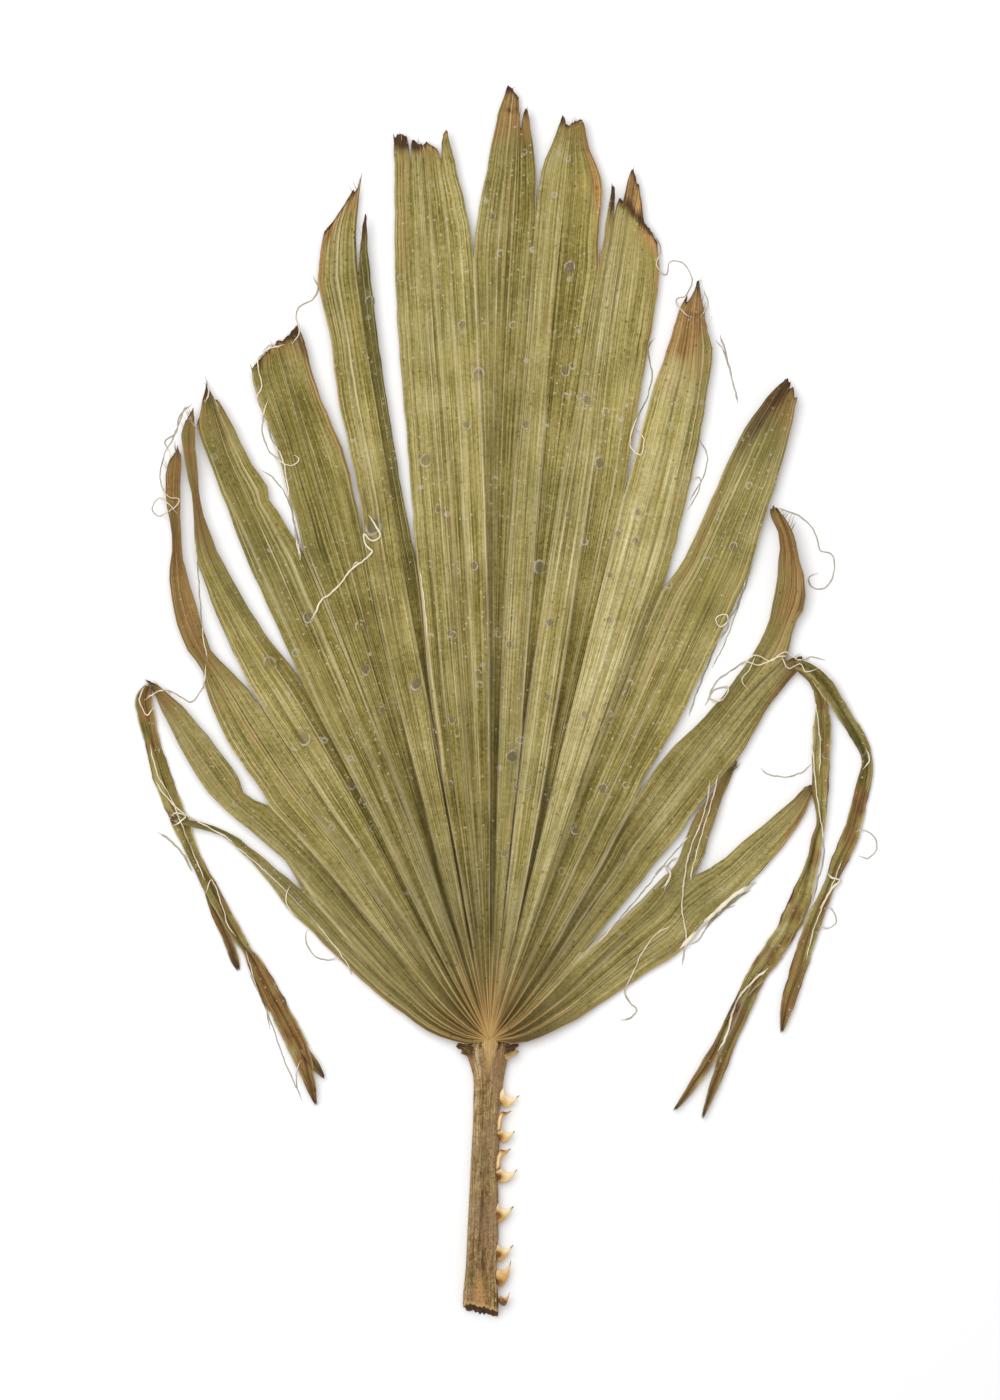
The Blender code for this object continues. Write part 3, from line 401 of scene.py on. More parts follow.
# Lines drawn along the blade; the dark ones are painted shade along the pleat valleys and folds.
CREASES = (
    Crease(Tint.PALE, 0.45, 0.75, ((40, -28.6), (60, -27.6), (100, -27.1), (152, -26.9),
                                   (180, -26.3), (240, -25.7))),
    Crease(Tint.PALE, 0.4, 0.6, ((40, -19.4), (80, -19.5), (120, -19.9), (140, -20.2),
                                 (208, -20.35))),
    Crease(Tint.PALE, 0.35, 0.5, ((40, -19.1), (80, -19.2), (100, -19.4), (124, -19.8))),
    Crease(Tint.PALE, 1.0, 0.3, ((48, -22.9), (100, -22.9), (120, -23.2), (150, -23.9))),
    Crease(Tint.PALE, 0.4, 0.45, ((40, -21.5), (80, -21.0), (110, -20.9))),
    Crease(Tint.PALE, 0.4, 0.55, ((40, -16.1), (80, -15.75), (120, -15.3), (160, -15.0))),
    Crease(Tint.PALE, 0.5, 0.9, ((108, -9.9), (120, -9.5), (148, -9.1), (168, -8.8),
                                 (190, -8.5))),
    Crease(Tint.RUST, 0.35, 0.8, ((108, -10.15), (122, -9.75), (150, -9.3), (170, -8.95),
                                  (188, -8.65))),
    Crease(Tint.PALE, 0.35, 0.5, ((40, -10.1), (96, -10.1), (108, -10.3), (160, -10.55))),
    Crease(Tint.RUST, 0.4, 0.6, ((76, -4.95), (100, -4.95), (152, -4.75), (192, -4.6),
                                 (240, -4.5))),
    Crease(Tint.PALE, 0.4, 0.4, ((60, -4.6), (150, -4.5), (240, -4.2), (330, -4.2))),
    Crease(Tint.RUST, 0.3, 0.5, ((60, -1.3), (160, -1.1), (240, -1.2), (310, -1.6))),
    Crease(Tint.PALE, 0.4, 0.85, ((90, -0.1), (120, -0.15), (152, -0.2), (200, -0.5),
                                  (240, -0.85), (320, -1.2))),
    Crease(Tint.PALE, 0.35, 0.6, ((90, 1.85), (140, 1.85), (180, 2.1), (240, 2.6))),
    Crease(Tint.PALE, 0.4, 0.7, ((96, 6.0), (120, 5.75), (140, 5.5), (168, 5.3), (200, 5.15),
                                 (260, 4.95))),
    Crease(Tint.PALE, 0.4, 0.75, ((56, 6.95), (80, 6.55), (108, 6.4), (140, 6.6), (160, 6.8),
                                  (180, 7.05), (240, 7.45))),
    Crease(Tint.PALE, 0.45, 0.75, ((40, 13.2), (60, 12.6), (80, 12.15), (100, 11.75),
                                   (120, 11.4), (160, 10.95), (200, 10.3), (240, 10.1))),
    Crease(Tint.PALE, 0.4, 0.6, ((200, 13.7), (226, 13.75), (260, 13.2))),
    Crease(Tint.PALE, 0.35, 0.7, ((174, 20.85), (192, 21.1), (212, 21.7))),
    Crease(Tint.PALE, 0.5, 0.55, ((40, 27), (72, 26.4), (92, 26.1), (116, 25.8), (160, 25.35))),
    Crease(Tint.PALE, 0.6, 0.85, ((44, 34.6), (60, 33.3), (80, 32.3), (100, 31.5), (116, 30.9))),
    Crease(Tint.PALE, 0.45, 0.6, ((32, 40), (44, 38.6), (60, 37.2), (80, 36.6), (100, 36.4))),
    Crease(Tint.PALE, 0.8, 0.95, ((44, 48.2), (60, 47.1), (80, 47.3), (96, 46.9))),
    Crease(Tint.PALE, 0.5, 0.6, ((36, -38), (48, -36), (60, -35), (92, -34.2), (116, -34.3))),
    Crease(Tint.PALE, 0.5, 0.6, ((44, -46.5), (60, -45), (80, -44), (96, -43.5), (120, -43.1))),
    Crease(Tint.PALE, 0.6, 0.8, ((62, -57.5), (72, -54), (88, -51.5), (96, -49.9), (108, -48.6))),
    Crease(Tint.PALE, 0.9, 0.4, ((44, -41.4), (60, -39.4), (80, -38.3), (120, -37.9))),
    Crease(Tint.DARK, 0.6, 0.8, ((100, -28.6), (120, -28.1), (140, -28.0), (160, -28.1))),
    Crease(Tint.DARK, 1.1, 0.45, ((40, -25.6), (60, -25.1), (92, -24.9))),
    Crease(Tint.DARK, 1.0, 0.95, ((40, -18.2), (60, -17.7), (80, -17.3), (100, -17.3))),
    Crease(Tint.DARK, 0.8, 0.9, ((40, -17.7), (60, -17.3), (80, -16.7), (104, -16.2),
                                 (120, -15.9))),
    Crease(Tint.DARK, 0.45, 0.85, ((112, -15.6), (136, -15.3), (160, -14.9), (188, -14.6),
                                   (206, -14.3))),
    Crease(Tint.DARK, 0.8, 1.0, ((36, -11.3), (60, -10.85), (80, -10.65), (104, -10.4),
                                 (132, -10.15))),
    Crease(Tint.DARK, 0.5, 0.8, ((36, 0.4), (80, 0.3), (120, 0.15), (170, 0.1))),
    Crease(Tint.DARK, 1.9, 0.5, ((128, 0.1), (170, 0.1), (225, 0.2), (262, 0.8))),
    Crease(Tint.DARK, 0.65, 0.85, ((16, 7), (30, 6.8), (45, 7), (62, 7), (75, 7.2))),
    Crease(Tint.DARK, 0.75, 0.85, ((16, 15), (30, 14.8), (60, 14.2), (78, 13.8), (112, 13.9))),
    Crease(Tint.DARK, 0.45, 0.75, ((36, 2), (60, 2.1), (80, 1.8))),
    Crease(Tint.DARK, 0.55, 0.7, ((16, -7), (30, -7), (45, -7), (62, -7.1))),
    Crease(Tint.DARK, 0.55, 0.5, ((20, -3), (60, -2.8), (110, -3), (170, -3), (225, -3.3))),
    Crease(Tint.DARK, 0.55, 0.6, ((18, -20.4), (30, -20.3), (46, -20.2))),
    Crease(Tint.DARK, 0.65, 0.6, ((18, 23), (30, 23), (52, 22.5))),
    Crease(Tint.DARK, 0.9, 0.6, ((48, -36.9), (60, -36.5), (76, -36.3))),
    Crease(Tint.DARK, 0.6, 0.6, ((48, -45.5), (60, -45.4), (74, -45.4))),
    Crease(Tint.DARK, 0.9, 0.5, ((92, -8.1), (110, -8), (132, -8))),
    Crease(Tint.DARK, 0.6, 0.5, ((46, -6.1), (80, -6), (112, -5.8), (128, -5.6))),
    Crease(Tint.DARK, 1.1, 0.5, ((128, 11.2), (160, 11.1), (210, 11), (232, 11))),
    Crease(Tint.DARK, 1.9, 0.55, ((132, 20.5), (160, 20.6), (186, 20.4))),
    Crease(Tint.DARK, 0.8, 0.45, ((136, 5.3), (160, 5), (186, 4.9))),
    Crease(Tint.DARK, 0.7, 0.45, ((146, -28), (160, -28), (176, -28))),
    Crease(Tint.DARK, 0.6, 0.4, ((52, -24.4), (62, -24.4), (76, -24.2))),
    Crease(Tint.DARK, 0.5, 0.4, ((18, -13.9), (30, -13.9), (44, -13.6))),
    Crease(Tint.PALE, 0.5, 0.5, ((18, -23.6), (30, -23.6), (48, -23.2))),
    Crease(Tint.PALE, 0.8, 0.55, ((18, 10.4), (30, 10.4), (64, 10.2))),
    Crease(Tint.PALE, 0.8, 0.5, ((18, 27), (30, 26.8), (48, 26.5))),
    Crease(Tint.PALE, 0.5, 0.45, ((18, -10.2), (30, -10.2), (64, -9.2))),
    Crease(Tint.PALE, 0.5, 0.4, ((48, -4.6), (60, -4.5), (78, -4.4))),
    Crease(Tint.PALE, 0.7, 0.35, ((20, 34), (34, 34.5), (46, 35))),
    Crease(Tint.RUST, 1.6, 0.5, ((150, 23.4), (200, 22.9), (262, 23.2), (285, 24))),
    Crease(Tint.DARK, 0.6, 0.7, ((36, 2.1), (60, 1.75), (100, 1.35), (140, 1.4))),
    Crease(Tint.DARK, 0.6, 1.0, ((36, 7.5), (52, 7), (80, 6.45), (120, 6.15), (160, 6.3))),
    Crease(Tint.DARK, 1.1, 0.9, ((36, 15), (48, 14.1), (80, 13.3), (104, 12.8))),
    Crease(Tint.DARK, 0.5, 0.8, ((100, 19.7), (148, 19.3), (168, 18.95), (200, 18.4),
                                 (240, 17.8))),
    Crease(Tint.DARK, 0.8, 0.75, ((120, 20.6), (152, 20.6), (180, 20.5), (200, 20.7))),
    Crease(Tint.DARK, 1.2, 0.7, ((44, 22.5), (60, 22.1), (80, 21.7), (104, 21.2), (124, 21.0))),
    Crease(Tint.DARK, 1.0, 0.75, ((40, 28.3), (52, 27.6), (76, 27.1), (104, 26.8))),
    Crease(Tint.DARK, 0.35, 0.6, ((120, 25.7), (160, 25.2), (200, 25), (250, 24.8))),
    Crease(Tint.DARK, 1.2, 0.95, ((36, 37.2), (60, 34.3), (80, 32.9), (100, 32), (112, 31.6))),
    Crease(Tint.DARK, 0.8, 0.8, ((36, 40.6), (48, 38.6), (60, 37.5), (76, 36.9))),
    Crease(Tint.DARK, 0.7, 0.6, ((48, 54.5), (60, 53.5), (76, 52.3), (90, 51.9))),
    Crease(Tint.DARK, 0.6, 0.6, ((50, 60), (64, 57.6), (76, 56.2), (96, 55))),
    Crease(Tint.DARK, 0.6, 0.8, ((92, -34.9), (112, -35.1), (128, -34.9))),
    Crease(Tint.RUST, 0.8, 0.7, ((120, -38.8), (140, -38.5), (160, -37.9), (180, -37.2),
                                 (196, -36.6))),
    Crease(Tint.DARK, 1.3, 0.85, ((40, -50.5), (52, -48), (72, -46), (92, -44.4), (106, -43.9))),
    Crease(Tint.DARK, 1.0, 0.6, ((36, -41), (44, -39), (60, -36.8), (76, -36))),
    Crease(Tint.DARK, 1.2, 0.8, ((46, -56.5), (60, -53.2), (72, -51.8), (80, -51.4))),
    Crease(Tint.DARK, 0.9, 0.6, ((44, -32.6), (60, -31), (80, -30), (104, -29.3))),
)


def from_photo(x: float, y: float) -> tuple[float, float]:
    """Millimetres right of and above the origin for a pixel of the photograph."""
    return (x - PHOTO_X) * PHOTO_SCALE, (PHOTO_Y - y) * PHOTO_SCALE


def smooth_curve(knots: Knots, places: np.ndarray) -> np.ndarray:
    """Values on a smooth curve through knots, level beyond its ends.

    Args:
        knots: (place, value) pairs in rising order.
        places: Where the curve is read.

    Returns:
        The curve's values, in the shape of places.
    """
    where = np.array([knot[0] for knot in knots], float)
    values = np.array([knot[1] for knot in knots], float)
    if len(knots) == 1:
        return np.full(np.shape(places), values[0])
    widths = np.diff(where)
    rises = np.diff(values) / widths
    slopes = np.empty(len(knots))
    slopes[0], slopes[-1] = rises[0], rises[-1]
    weighed = (rises[:-1] * widths[1:] + rises[1:] * widths[:-1]) / (widths[1:] + widths[:-1])
    slopes[1:-1] = np.where(rises[:-1] * rises[1:] <= 0, 0.0, weighed)
    index = np.clip(np.searchsorted(where, places, side="right") - 1, 0, len(knots) - 2)
    t = np.clip((places - where[index]) / widths[index], 0, 1)
    near, far = slopes[index] * widths[index], slopes[index + 1] * widths[index]
    return (
        values[index] * (1 + 2 * t) * (1 - t) ** 2 + near * t * (1 - t) ** 2
        + values[index + 1] * t * t * (3 - 2 * t) + far * t * t * (t - 1)
    )


def ease(share: np.ndarray | float) -> np.ndarray | float:
    """Smooth step from 0 to 1."""
    share = np.clip(share, 0.0, 1.0)
    return share * share * (3 - 2 * share)


def ripple(places: np.ndarray, seed: int, length: float) -> np.ndarray:
    """Smooth uneven wave between about -1 and 1.

    Args:
        places: Where the wave is read.
        seed: Picks one wave.
        length: Longest wave length.

    Returns:
        The wave's values.
    """
    draw = np.random.default_rng(seed)
    total = np.zeros(np.shape(places))
    for octave in range(4):
        pitch = (1 + 0.83 * octave) * 2 * math.pi / length
        total = total + np.sin(places * pitch + draw.uniform(0, 2 * math.pi)) / (1 + octave)
    return total / 1.6


def swell(x: np.ndarray, y: np.ndarray, seed: int, length: float) -> np.ndarray:
    """Smooth uneven hills over a plane, between about -1 and 1.

    Args:
        x: First coordinate.
        y: Second coordinate.
        seed: Picks one field of hills.
        length: Usual size of a hill.

    Returns:
        Heights of the hills.
    """
    draw = np.random.default_rng(seed)
    total = np.zeros(np.shape(x))
    for _ in range(6):
        turn = draw.uniform(0, math.pi)
        pitch = 2 * math.pi / (length * draw.uniform(0.7, 1.5))
        across = x * math.cos(turn) + y * math.sin(turn)
        total = total + np.sin(across * pitch + draw.uniform(0, 2 * math.pi))
    return total / 3.2


def spline(points: np.ndarray, spacing: float) -> np.ndarray:
    """Smooth route through points.

    Args:
        points: One row a point.
        spacing: Distance between the route's points.

    Returns:
        The points of the route.
    """
    padded = np.vstack([2 * points[0] - points[1], points, 2 * points[-1] - points[-2]])
    route = []
    for a, b, c, d in zip(padded, padded[1:], padded[2:], padded[3:]):
        count = max(2, math.ceil(float(np.linalg.norm((c - b)[:2])) / spacing))
        for step in range(count):
            t = step / count
            route.append(0.5 * (2 * b + (c - a) * t + (2 * a - 5 * b + 4 * c - d) * t * t
                                + (3 * b - a - 3 * c + d) * t ** 3))
    route.append(points[-1])
    return np.array(route)


class Signal:
    """A number on its way through the shader, with the arithmetic that the finishes use."""

    def __init__(self, paint: "Paint", socket: bpy.types.NodeSocket) -> None:
        """Wrap one output socket."""
        self.paint = paint
        self.socket = socket

    def math(self, operation: str, *values: "Signal | float", clamp: bool = False) -> "Signal":
        """Add one Math node.

        Args:
            operation: What the node works out.
            values: Its inputs, in order.
            clamp: Whether the result is kept between 0 and 1.

        Returns:
            The node's result.
        """
        sockets = dict(enumerate(values))
        made = self.paint.node("ShaderNodeMath", {"operation": operation, "use_clamp": clamp},
                               sockets)
        return Signal(self.paint, made.outputs[0])

    def __add__(self, other: "Signal | float") -> "Signal":
        """Sum."""
        return self.math("ADD", self, other)

    def __radd__(self, other: float) -> "Signal":
        """Sum, reflected."""
        return self.math("ADD", other, self)

    def __sub__(self, other: "Signal | float") -> "Signal":
        """Difference."""
        return self.math("SUBTRACT", self, other)

    def __rsub__(self, other: float) -> "Signal":
        """Difference, reflected."""
        return self.math("SUBTRACT", other, self)

    def __mul__(self, other: "Signal | float") -> "Signal":
        """Product."""
        return self.math("MULTIPLY", self, other)

    def __rmul__(self, other: float) -> "Signal":
        """Product, reflected."""
        return self.math("MULTIPLY", other, self)

    def __abs__(self) -> "Signal":
        """Size without its sign."""
        return self.math("ABSOLUTE", self)

    def clamped(self) -> "Signal":
        """Kept between 0 and 1."""
        return self.math("ADD", self, 0.0, clamp=True)

    def fraction(self) -> "Signal":
        """What is left after the whole number."""
        return self.math("FRACT", self)

    def step(self, low: float, high: float) -> "Signal":
        """Smooth step from 0 at low to 1 at high."""
        made = self.paint.node(
            "ShaderNodeMapRange", {"interpolation_type": "SMOOTHSTEP"},
            {"Value": self, "From Min": low, "From Max": high},
        )
        return Signal(self.paint, made.outputs[0])


class Paint:
    """Node tree of one material."""

    def __init__(self, name: str) -> None:
        """Start a material with its one main shader."""
        self.material = bpy.data.materials.new(name)
        self.material.use_nodes = True
        self.tree = self.material.node_tree
        self.shader = self.tree.nodes["Principled BSDF"]

    def node(self, kind: str, settings: dict | None = None,
             sockets: dict | None = None) -> bpy.types.Node:
        """Add one node.

        Args:
            kind: The node's type.
            settings: Its own settings, set first; stops are those of a colour ramp.
            sockets: Values or links of its inputs, by name or number.

        Returns:
            The node.
        """
        made = self.tree.nodes.new(kind)
        for name, value in (settings or {}).items():
            if name == "stops":
                self.set_stops(made.color_ramp, value)
            else:
                setattr(made, name, value)
        for name, value in (sockets or {}).items():
            self.join(made.inputs[name], value)
        return made

    def set_stops(self, ramp: bpy.types.ColorRamp, stops: tuple) -> None:
        """Give a colour ramp its (place, colour) stops."""
        while len(ramp.elements) < len(stops):
            ramp.elements.new(0.5)
        for element, (place, colour) in zip(ramp.elements, stops):
            element.position = place
            element.color = (*colour, 1)

    def join(self, socket: bpy.types.NodeSocket, value: object) -> None:
        """Set or link one input socket."""
        if isinstance(value, Signal):
            self.tree.links.new(value.socket, socket)
        elif isinstance(value, bpy.types.NodeSocket):
            self.tree.links.new(value, socket)
        elif socket.type == "RGBA":
            socket.default_value = (*value, 1)
        else:
            socket.default_value = value

    def mark(self, name: str) -> Signal:
        """Number that the mesh carries under a name."""
        made = self.node("ShaderNodeAttribute", {"attribute_name": name})
        return Signal(self, made.outputs["Fac"])

    def place(self) -> bpy.types.NodeSocket:
        """Place on the object."""
        return self.node("ShaderNodeTexCoord").outputs["Object"]

    def flat_place(self) -> bpy.types.NodeSocket:
        """Place on the object, seen from above."""
        flat = self.node("ShaderNodeVectorMath", {"operation": "MULTIPLY"},
                         {0: self.place(), 1: (1.0, 1.0, 0.0)})
        return flat.outputs["Vector"]

    def vector(self, x: Signal | float, y: Signal | float,
               z: Signal | float) -> bpy.types.NodeSocket:
        """Three numbers as one vector."""
        return self.node("ShaderNodeCombineXYZ", {}, {0: x, 1: y, 2: z}).outputs[0]

    def noise(self, vector: bpy.types.NodeSocket, scale: float, detail: float = 2.0,
              roughness: float = 0.5) -> Signal:
        """Cloudy pattern between 0 and 1.

        Args:
            vector: Where the pattern is read.
            scale: How fine it is.
            detail: How many finer layers it has.
            roughness: How strong those are.

        Returns:
            The pattern.
        """
        made = self.node("ShaderNodeTexNoise", {"noise_dimensions": "3D"},
                         {"Vector": vector, "Scale": scale, "Detail": detail,
                          "Roughness": roughness})
        return Signal(self, made.outputs[0])

    def cells(self, vector: bpy.types.NodeSocket, scale: float) -> Signal:
        """Distance to the nearest of many scattered points."""
        made = self.node("ShaderNodeTexVoronoi", {"feature": "F1"},
                         {"Vector": vector, "Scale": scale})
        return Signal(self, made.outputs["Distance"])

    def mix(self, base: object, over: object, share: Signal | float) -> bpy.types.NodeSocket:
        """Blend from one colour to another."""
        made = self.node("ShaderNodeMix", {"data_type": "RGBA"}, {0: share, 6: base, 7: over})
        return made.outputs[2]

    def ramp(self, share: Signal, stops: tuple) -> bpy.types.NodeSocket:
        """Colour from a row of (place, colour) stops."""
        return self.node("ShaderNodeValToRGB", {"stops": stops}, {0: share}).outputs[0]

    def finish(self, colour: object, roughness: object, height: Signal | None = None,
               depth: float = 0.0002, strength: float = 0.6,
               gloss: float = 0.12) -> bpy.types.Material:
        """Feed the shader.

        Args:
            colour: Base colour.
            roughness: Roughness.
            height: Relief, between 0 and 1.
            depth: Metres that the relief stands for.
            strength: Share of the relief that shows.
            gloss: How strongly the surface mirrors.

        Returns:
            The material.
        """
        self.shader.inputs["Specular IOR Level"].default_value = gloss
        self.join(self.shader.inputs["Base Color"], colour)
        self.join(self.shader.inputs["Roughness"], roughness)
        if height is not None:
            bump = self.node("ShaderNodeBump", {}, {"Strength": strength, "Distance": depth,
                                                    "Height": height})
            self.join(self.shader.inputs["Normal"], bump.outputs["Normal"])
        return self.material


@dataclass(frozen=True)
class LeafFinish:
    """Dried blade: olive tissue with parallel veins, cream lines and brown ends, and shade painted into
    its valleys, folds and steep halves.
    """

    name: str = "dried_palm_blade"
    tones: tuple[tuple[float, Colour], ...] = (
        (0.0, (0.036, 0.025, 0.006)),
        (0.2, (0.118, 0.088, 0.015)),
        (0.4, (0.246, 0.198, 0.044)),
        (0.6, (0.412, 0.340, 0.118)),
        (0.8, (0.560, 0.474, 0.208)),
        (1.0, (0.760, 0.676, 0.380)),
    )
    cream: Colour = (0.74, 0.63, 0.38)
    # Colour of painted shade from the dark mark, and of the thin dark streaks and dots.
    shade_streak_and_speck: Colour = (0.040, 0.026, 0.007)
    rust: Colour = (0.230, 0.092, 0.020)
    tan: Colour = (0.560, 0.345, 0.130)
    ochre: Colour = (0.260, 0.175, 0.042)
    gold: Colour = (0.470, 0.370, 0.110)
    burnt: Colour = (0.052, 0.023, 0.012)
    green: Colour = (0.110, 0.122, 0.036)
    straw: Colour = (0.640, 0.405, 0.150)
    umber: Colour = (0.105, 0.058, 0.018)
    speck: Colour = (0.60, 0.56, 0.41)
    ring: Colour = (0.50, 0.455, 0.345)
    felt: Colour = (0.150, 0.118, 0.082)

    def material(self) -> bpy.types.Material:
        """Build the node tree."""
        paint = Paint(self.name)
        across, along = paint.mark("across"), paint.mark("along")
        tone, pale, dark = paint.mark("tone"), paint.mark("pale"), paint.mark("dark")
        rust, green = paint.mark("rust"), paint.mark("green")
        burnt, straw = paint.mark("burnt"), paint.mark("straw")
        place = paint.flat_place()
        bands = paint.noise(paint.vector(across * 0.33, along * 0.005, 0.0), 1.0, 2.0, 0.6) - 0.5
        streaks = paint.noise(paint.vector(across * 1.7, along * 0.011, 3.7), 1.0, 3.0, 0.75) - 0.5
        fibres = paint.noise(paint.vector(across * 4.6, along * 0.022, 9.1), 1.0, 3.0, 0.7) - 0.5
        blotch = paint.noise(place, 48.0, 4.0, 0.62) - 0.5
        fleck = paint.noise(place, 620.0, 3.0, 0.7) - 0.5
        vein = abs((across * 0.9).fraction() - 0.5).step(0.3, 0.5)
        far = along.step(8.0, 60.0)
        share = (tone + bands * 0.45 + streaks * 0.85 + fibres * 1.25 + blotch * 0.6 + fleck * 0.6
                 - vein * (0.08 + streaks * 0.6))
        colour = paint.ramp(share.clamped(), self.tones)
        leafy = (green * 0.55 + (paint.noise(place, 13.0, 2.0, 0.5) - 0.5).step(0.0, 0.2) * 0.5)
        colour = paint.mix(colour, self.green, leafy.clamped() * 0.7)
        warm = (paint.noise(paint.vector(across * 0.8, along * 0.012, 6.4), 1.0, 3.0, 0.6)
                - 0.54).step(0.0, 0.14)
        colour = paint.mix(colour, self.ochre, warm * 0.45)
        golden = (paint.noise(place, 17.0, 3.0, 0.6) - 0.5).step(0.0, 0.16)
        colour = paint.mix(colour, self.gold, (golden * (tone - 0.2) * (0.9 + fibres)).clamped())
        brown = (rust * 1.5 + blotch * 1.5 + streaks * 1.6 - (1.0 - rust) * 0.45).clamped()
        grain = (0.5 + streaks * 4.2 + fibres * 2.6 + fleck * 1.4 + blotch * 1.6).clamped()
        colour = paint.mix(colour, paint.mix(self.tan, self.rust, grain), brown * 0.86)
        thin_dark = paint.noise(paint.vector(across * 2.6, along * 0.008, 21.0), 1.0, 2.0, 0.6)
        colour = paint.mix(colour, self.shade_streak_and_speck, thin_dark.step(0.57, 0.68) * 0.4)
        thin_pale = paint.noise(paint.vector(across * 3.1, along * 0.010, 33.0), 1.0, 2.0, 0.6)
        colour = paint.mix(colour, self.cream, thin_pale.step(0.6, 0.7) * 0.18)
        colour = paint.mix(colour, self.umber, (1.0 - along.step(4.0, 34.0)) * 0.75)
        # Painted shade in the valleys, folds and hub gaps.
        colour = paint.mix(colour, self.shade_streak_and_speck, (dark * (0.9 + streaks * 1.4)).clamped() * 0.86)
        wood = (straw * (0.9 + streaks * 2.4 + fibres * 1.6)).clamped()
        colour = paint.mix(colour, self.straw, wood * 0.9)
        lines = paint.mix(self.straw, self.cream, along.step(12.0, 60.0))
        colour = paint.mix(colour, lines, (pale * (0.95 + fibres * 2.0)).clamped() * 0.9)
        char = (burnt * 1.6 + streaks * 1.5 + blotch * 1.2 - (1.0 - burnt) * 0.25).clamped()
        colour = paint.mix(colour, self.burnt, char * 0.9)
        busy = paint.noise(place, 22.0, 2.0, 0.6).step(0.40, 0.54) * along.step(40.0, 90.0)
        specks = (1.0 - paint.cells(place, 330.0).step(0.1, 0.2)) * busy
        colour = paint.mix(colour, self.speck, specks * 0.55)
        dots = (1.0 - paint.cells(place, 250.0).step(0.08, 0.18)) * (1.0 - busy * 0.6)
        colour = paint.mix(colour, self.shade_streak_and_speck, dots * 0.5)
        distance = paint.cells(place, 92.0) + fleck * 0.09
        rings = (1.0 - abs(distance - 0.13).step(0.014, 0.04)) * busy
        rings = rings * (paint.noise(place, 260.0, 1.0, 0.5) - 0.42).step(0.0, 0.1)
        rings = rings * (1.0 - rust * 1.6).clamped()
        colour = paint.mix(colour, self.ring, rings * 0.8)
        halo, core = paint.mark("halo"), paint.mark("core")
        colour = paint.mix(colour, self.felt, (core * (0.9 + fleck * 2.6)).clamped() * 0.85)
        outline = (halo * (1.0 - halo) * 4.0 * (0.6 + fleck * 2.0)).clamped()
        colour = paint.mix(colour, self.felt, outline * 0.3)
        light = (halo.step(0.25, 0.95) * (1.05 + fleck * 4.0)).clamped()
        colour = paint.mix(colour, self.ring, light * 0.88)
        relief = (0.5 + (streaks * 0.8 + fibres * 0.7 - vein * 0.24) * far + fleck * 0.3
                  + blotch * 0.2 + specks * 0.12 + rings * 0.14)
        return paint.finish(colour, (0.56 + fleck * 0.4).clamped(), relief, 0.0007, 0.9)


@dataclass(frozen=True)
class StalkFinish:
    """Dried stalk: tan brown, streaked and grooved along its length."""

    name: str = "dried_palm_stalk"
    tones: tuple[tuple[float, Colour], ...] = (
        (0.0, (0.050, 0.026, 0.012)),
        (0.3, (0.160, 0.084, 0.028)),
        (0.55, (0.300, 0.182, 0.066)),
        (0.8, (0.470, 0.325, 0.145)),
        (1.0, (0.660, 0.510, 0.290)),
    )
    olive: Colour = (0.250, 0.205, 0.070)
    rosy: Colour = (0.350, 0.215, 0.125)
    orange: Colour = (0.56, 0.30, 0.12)
    dark: Colour = (0.036, 0.015, 0.010)
    cream: Colour = (0.74, 0.50, 0.205)

    def material(self) -> bpy.types.Material:
        """Build the node tree."""
        paint = Paint(self.name)
        across, along = paint.mark("across"), paint.mark("along")
        tone, dark = paint.mark("tone"), paint.mark("dark")
        warm, pale = paint.mark("warm"), paint.mark("pale")
        place = paint.place()
        streaks = paint.noise(paint.vector(across * 1.3, along * 0.05, 1.3), 1.0, 4.0, 0.75)
        fibres = paint.noise(paint.vector(across * 4.6, along * 0.3, 5.0), 1.0, 3.0, 0.65)
        fleck = paint.noise(place, 900.0, 3.0, 0.7)
        mottle = paint.noise(place, 330.0, 3.0, 0.7)
        olive = paint.noise(place, 70.0, 2.0, 0.5).step(0.42, 0.6)
        pits = 1.0 - paint.noise(paint.vector(across * 4.2, along * 1.1, 8.0), 1.0, 2.0,
                                 0.6).step(0.35, 0.41)
        share = (tone + (streaks - 0.5) * 2.1 + (fibres - 0.5) * 1.4 + (fleck - 0.5) * 0.9
                 + (mottle - 0.5) * 0.9)
        colour = paint.ramp(share.clamped(), self.tones)
        colour = paint.mix(colour, self.olive, olive * 0.25)
        rosy = paint.noise(place, 48.0, 3.0, 0.6).step(0.47, 0.6) * (0.2 + fibres * 0.8)
        colour = paint.mix(colour, self.rosy, rosy * 0.8)
        colour = paint.mix(colour, self.orange, (warm * (0.4 + fibres * 1.2)).clamped() * 0.85)
        colour = paint.mix(colour, self.dark, pits * 0.82)
        colour = paint.mix(colour, self.cream, (pale * (0.4 + fibres * 1.2)).clamped() * 0.95)
        # The dark mark carries painted shade low on the stalk, along its dip and in the crest's grooves,
        # as well as darker scraps and ends.
        colour = paint.mix(colour, self.dark, (dark * (0.4 + fleck * 1.1)).clamped() * 0.85)
        relief = streaks * 0.7 + fibres * 0.5 + fleck * 0.25 - pits * 0.4 + mottle * 0.2
        return paint.finish(colour, (0.46 + fleck * 0.22).clamped(), relief, 0.0006, 0.9)


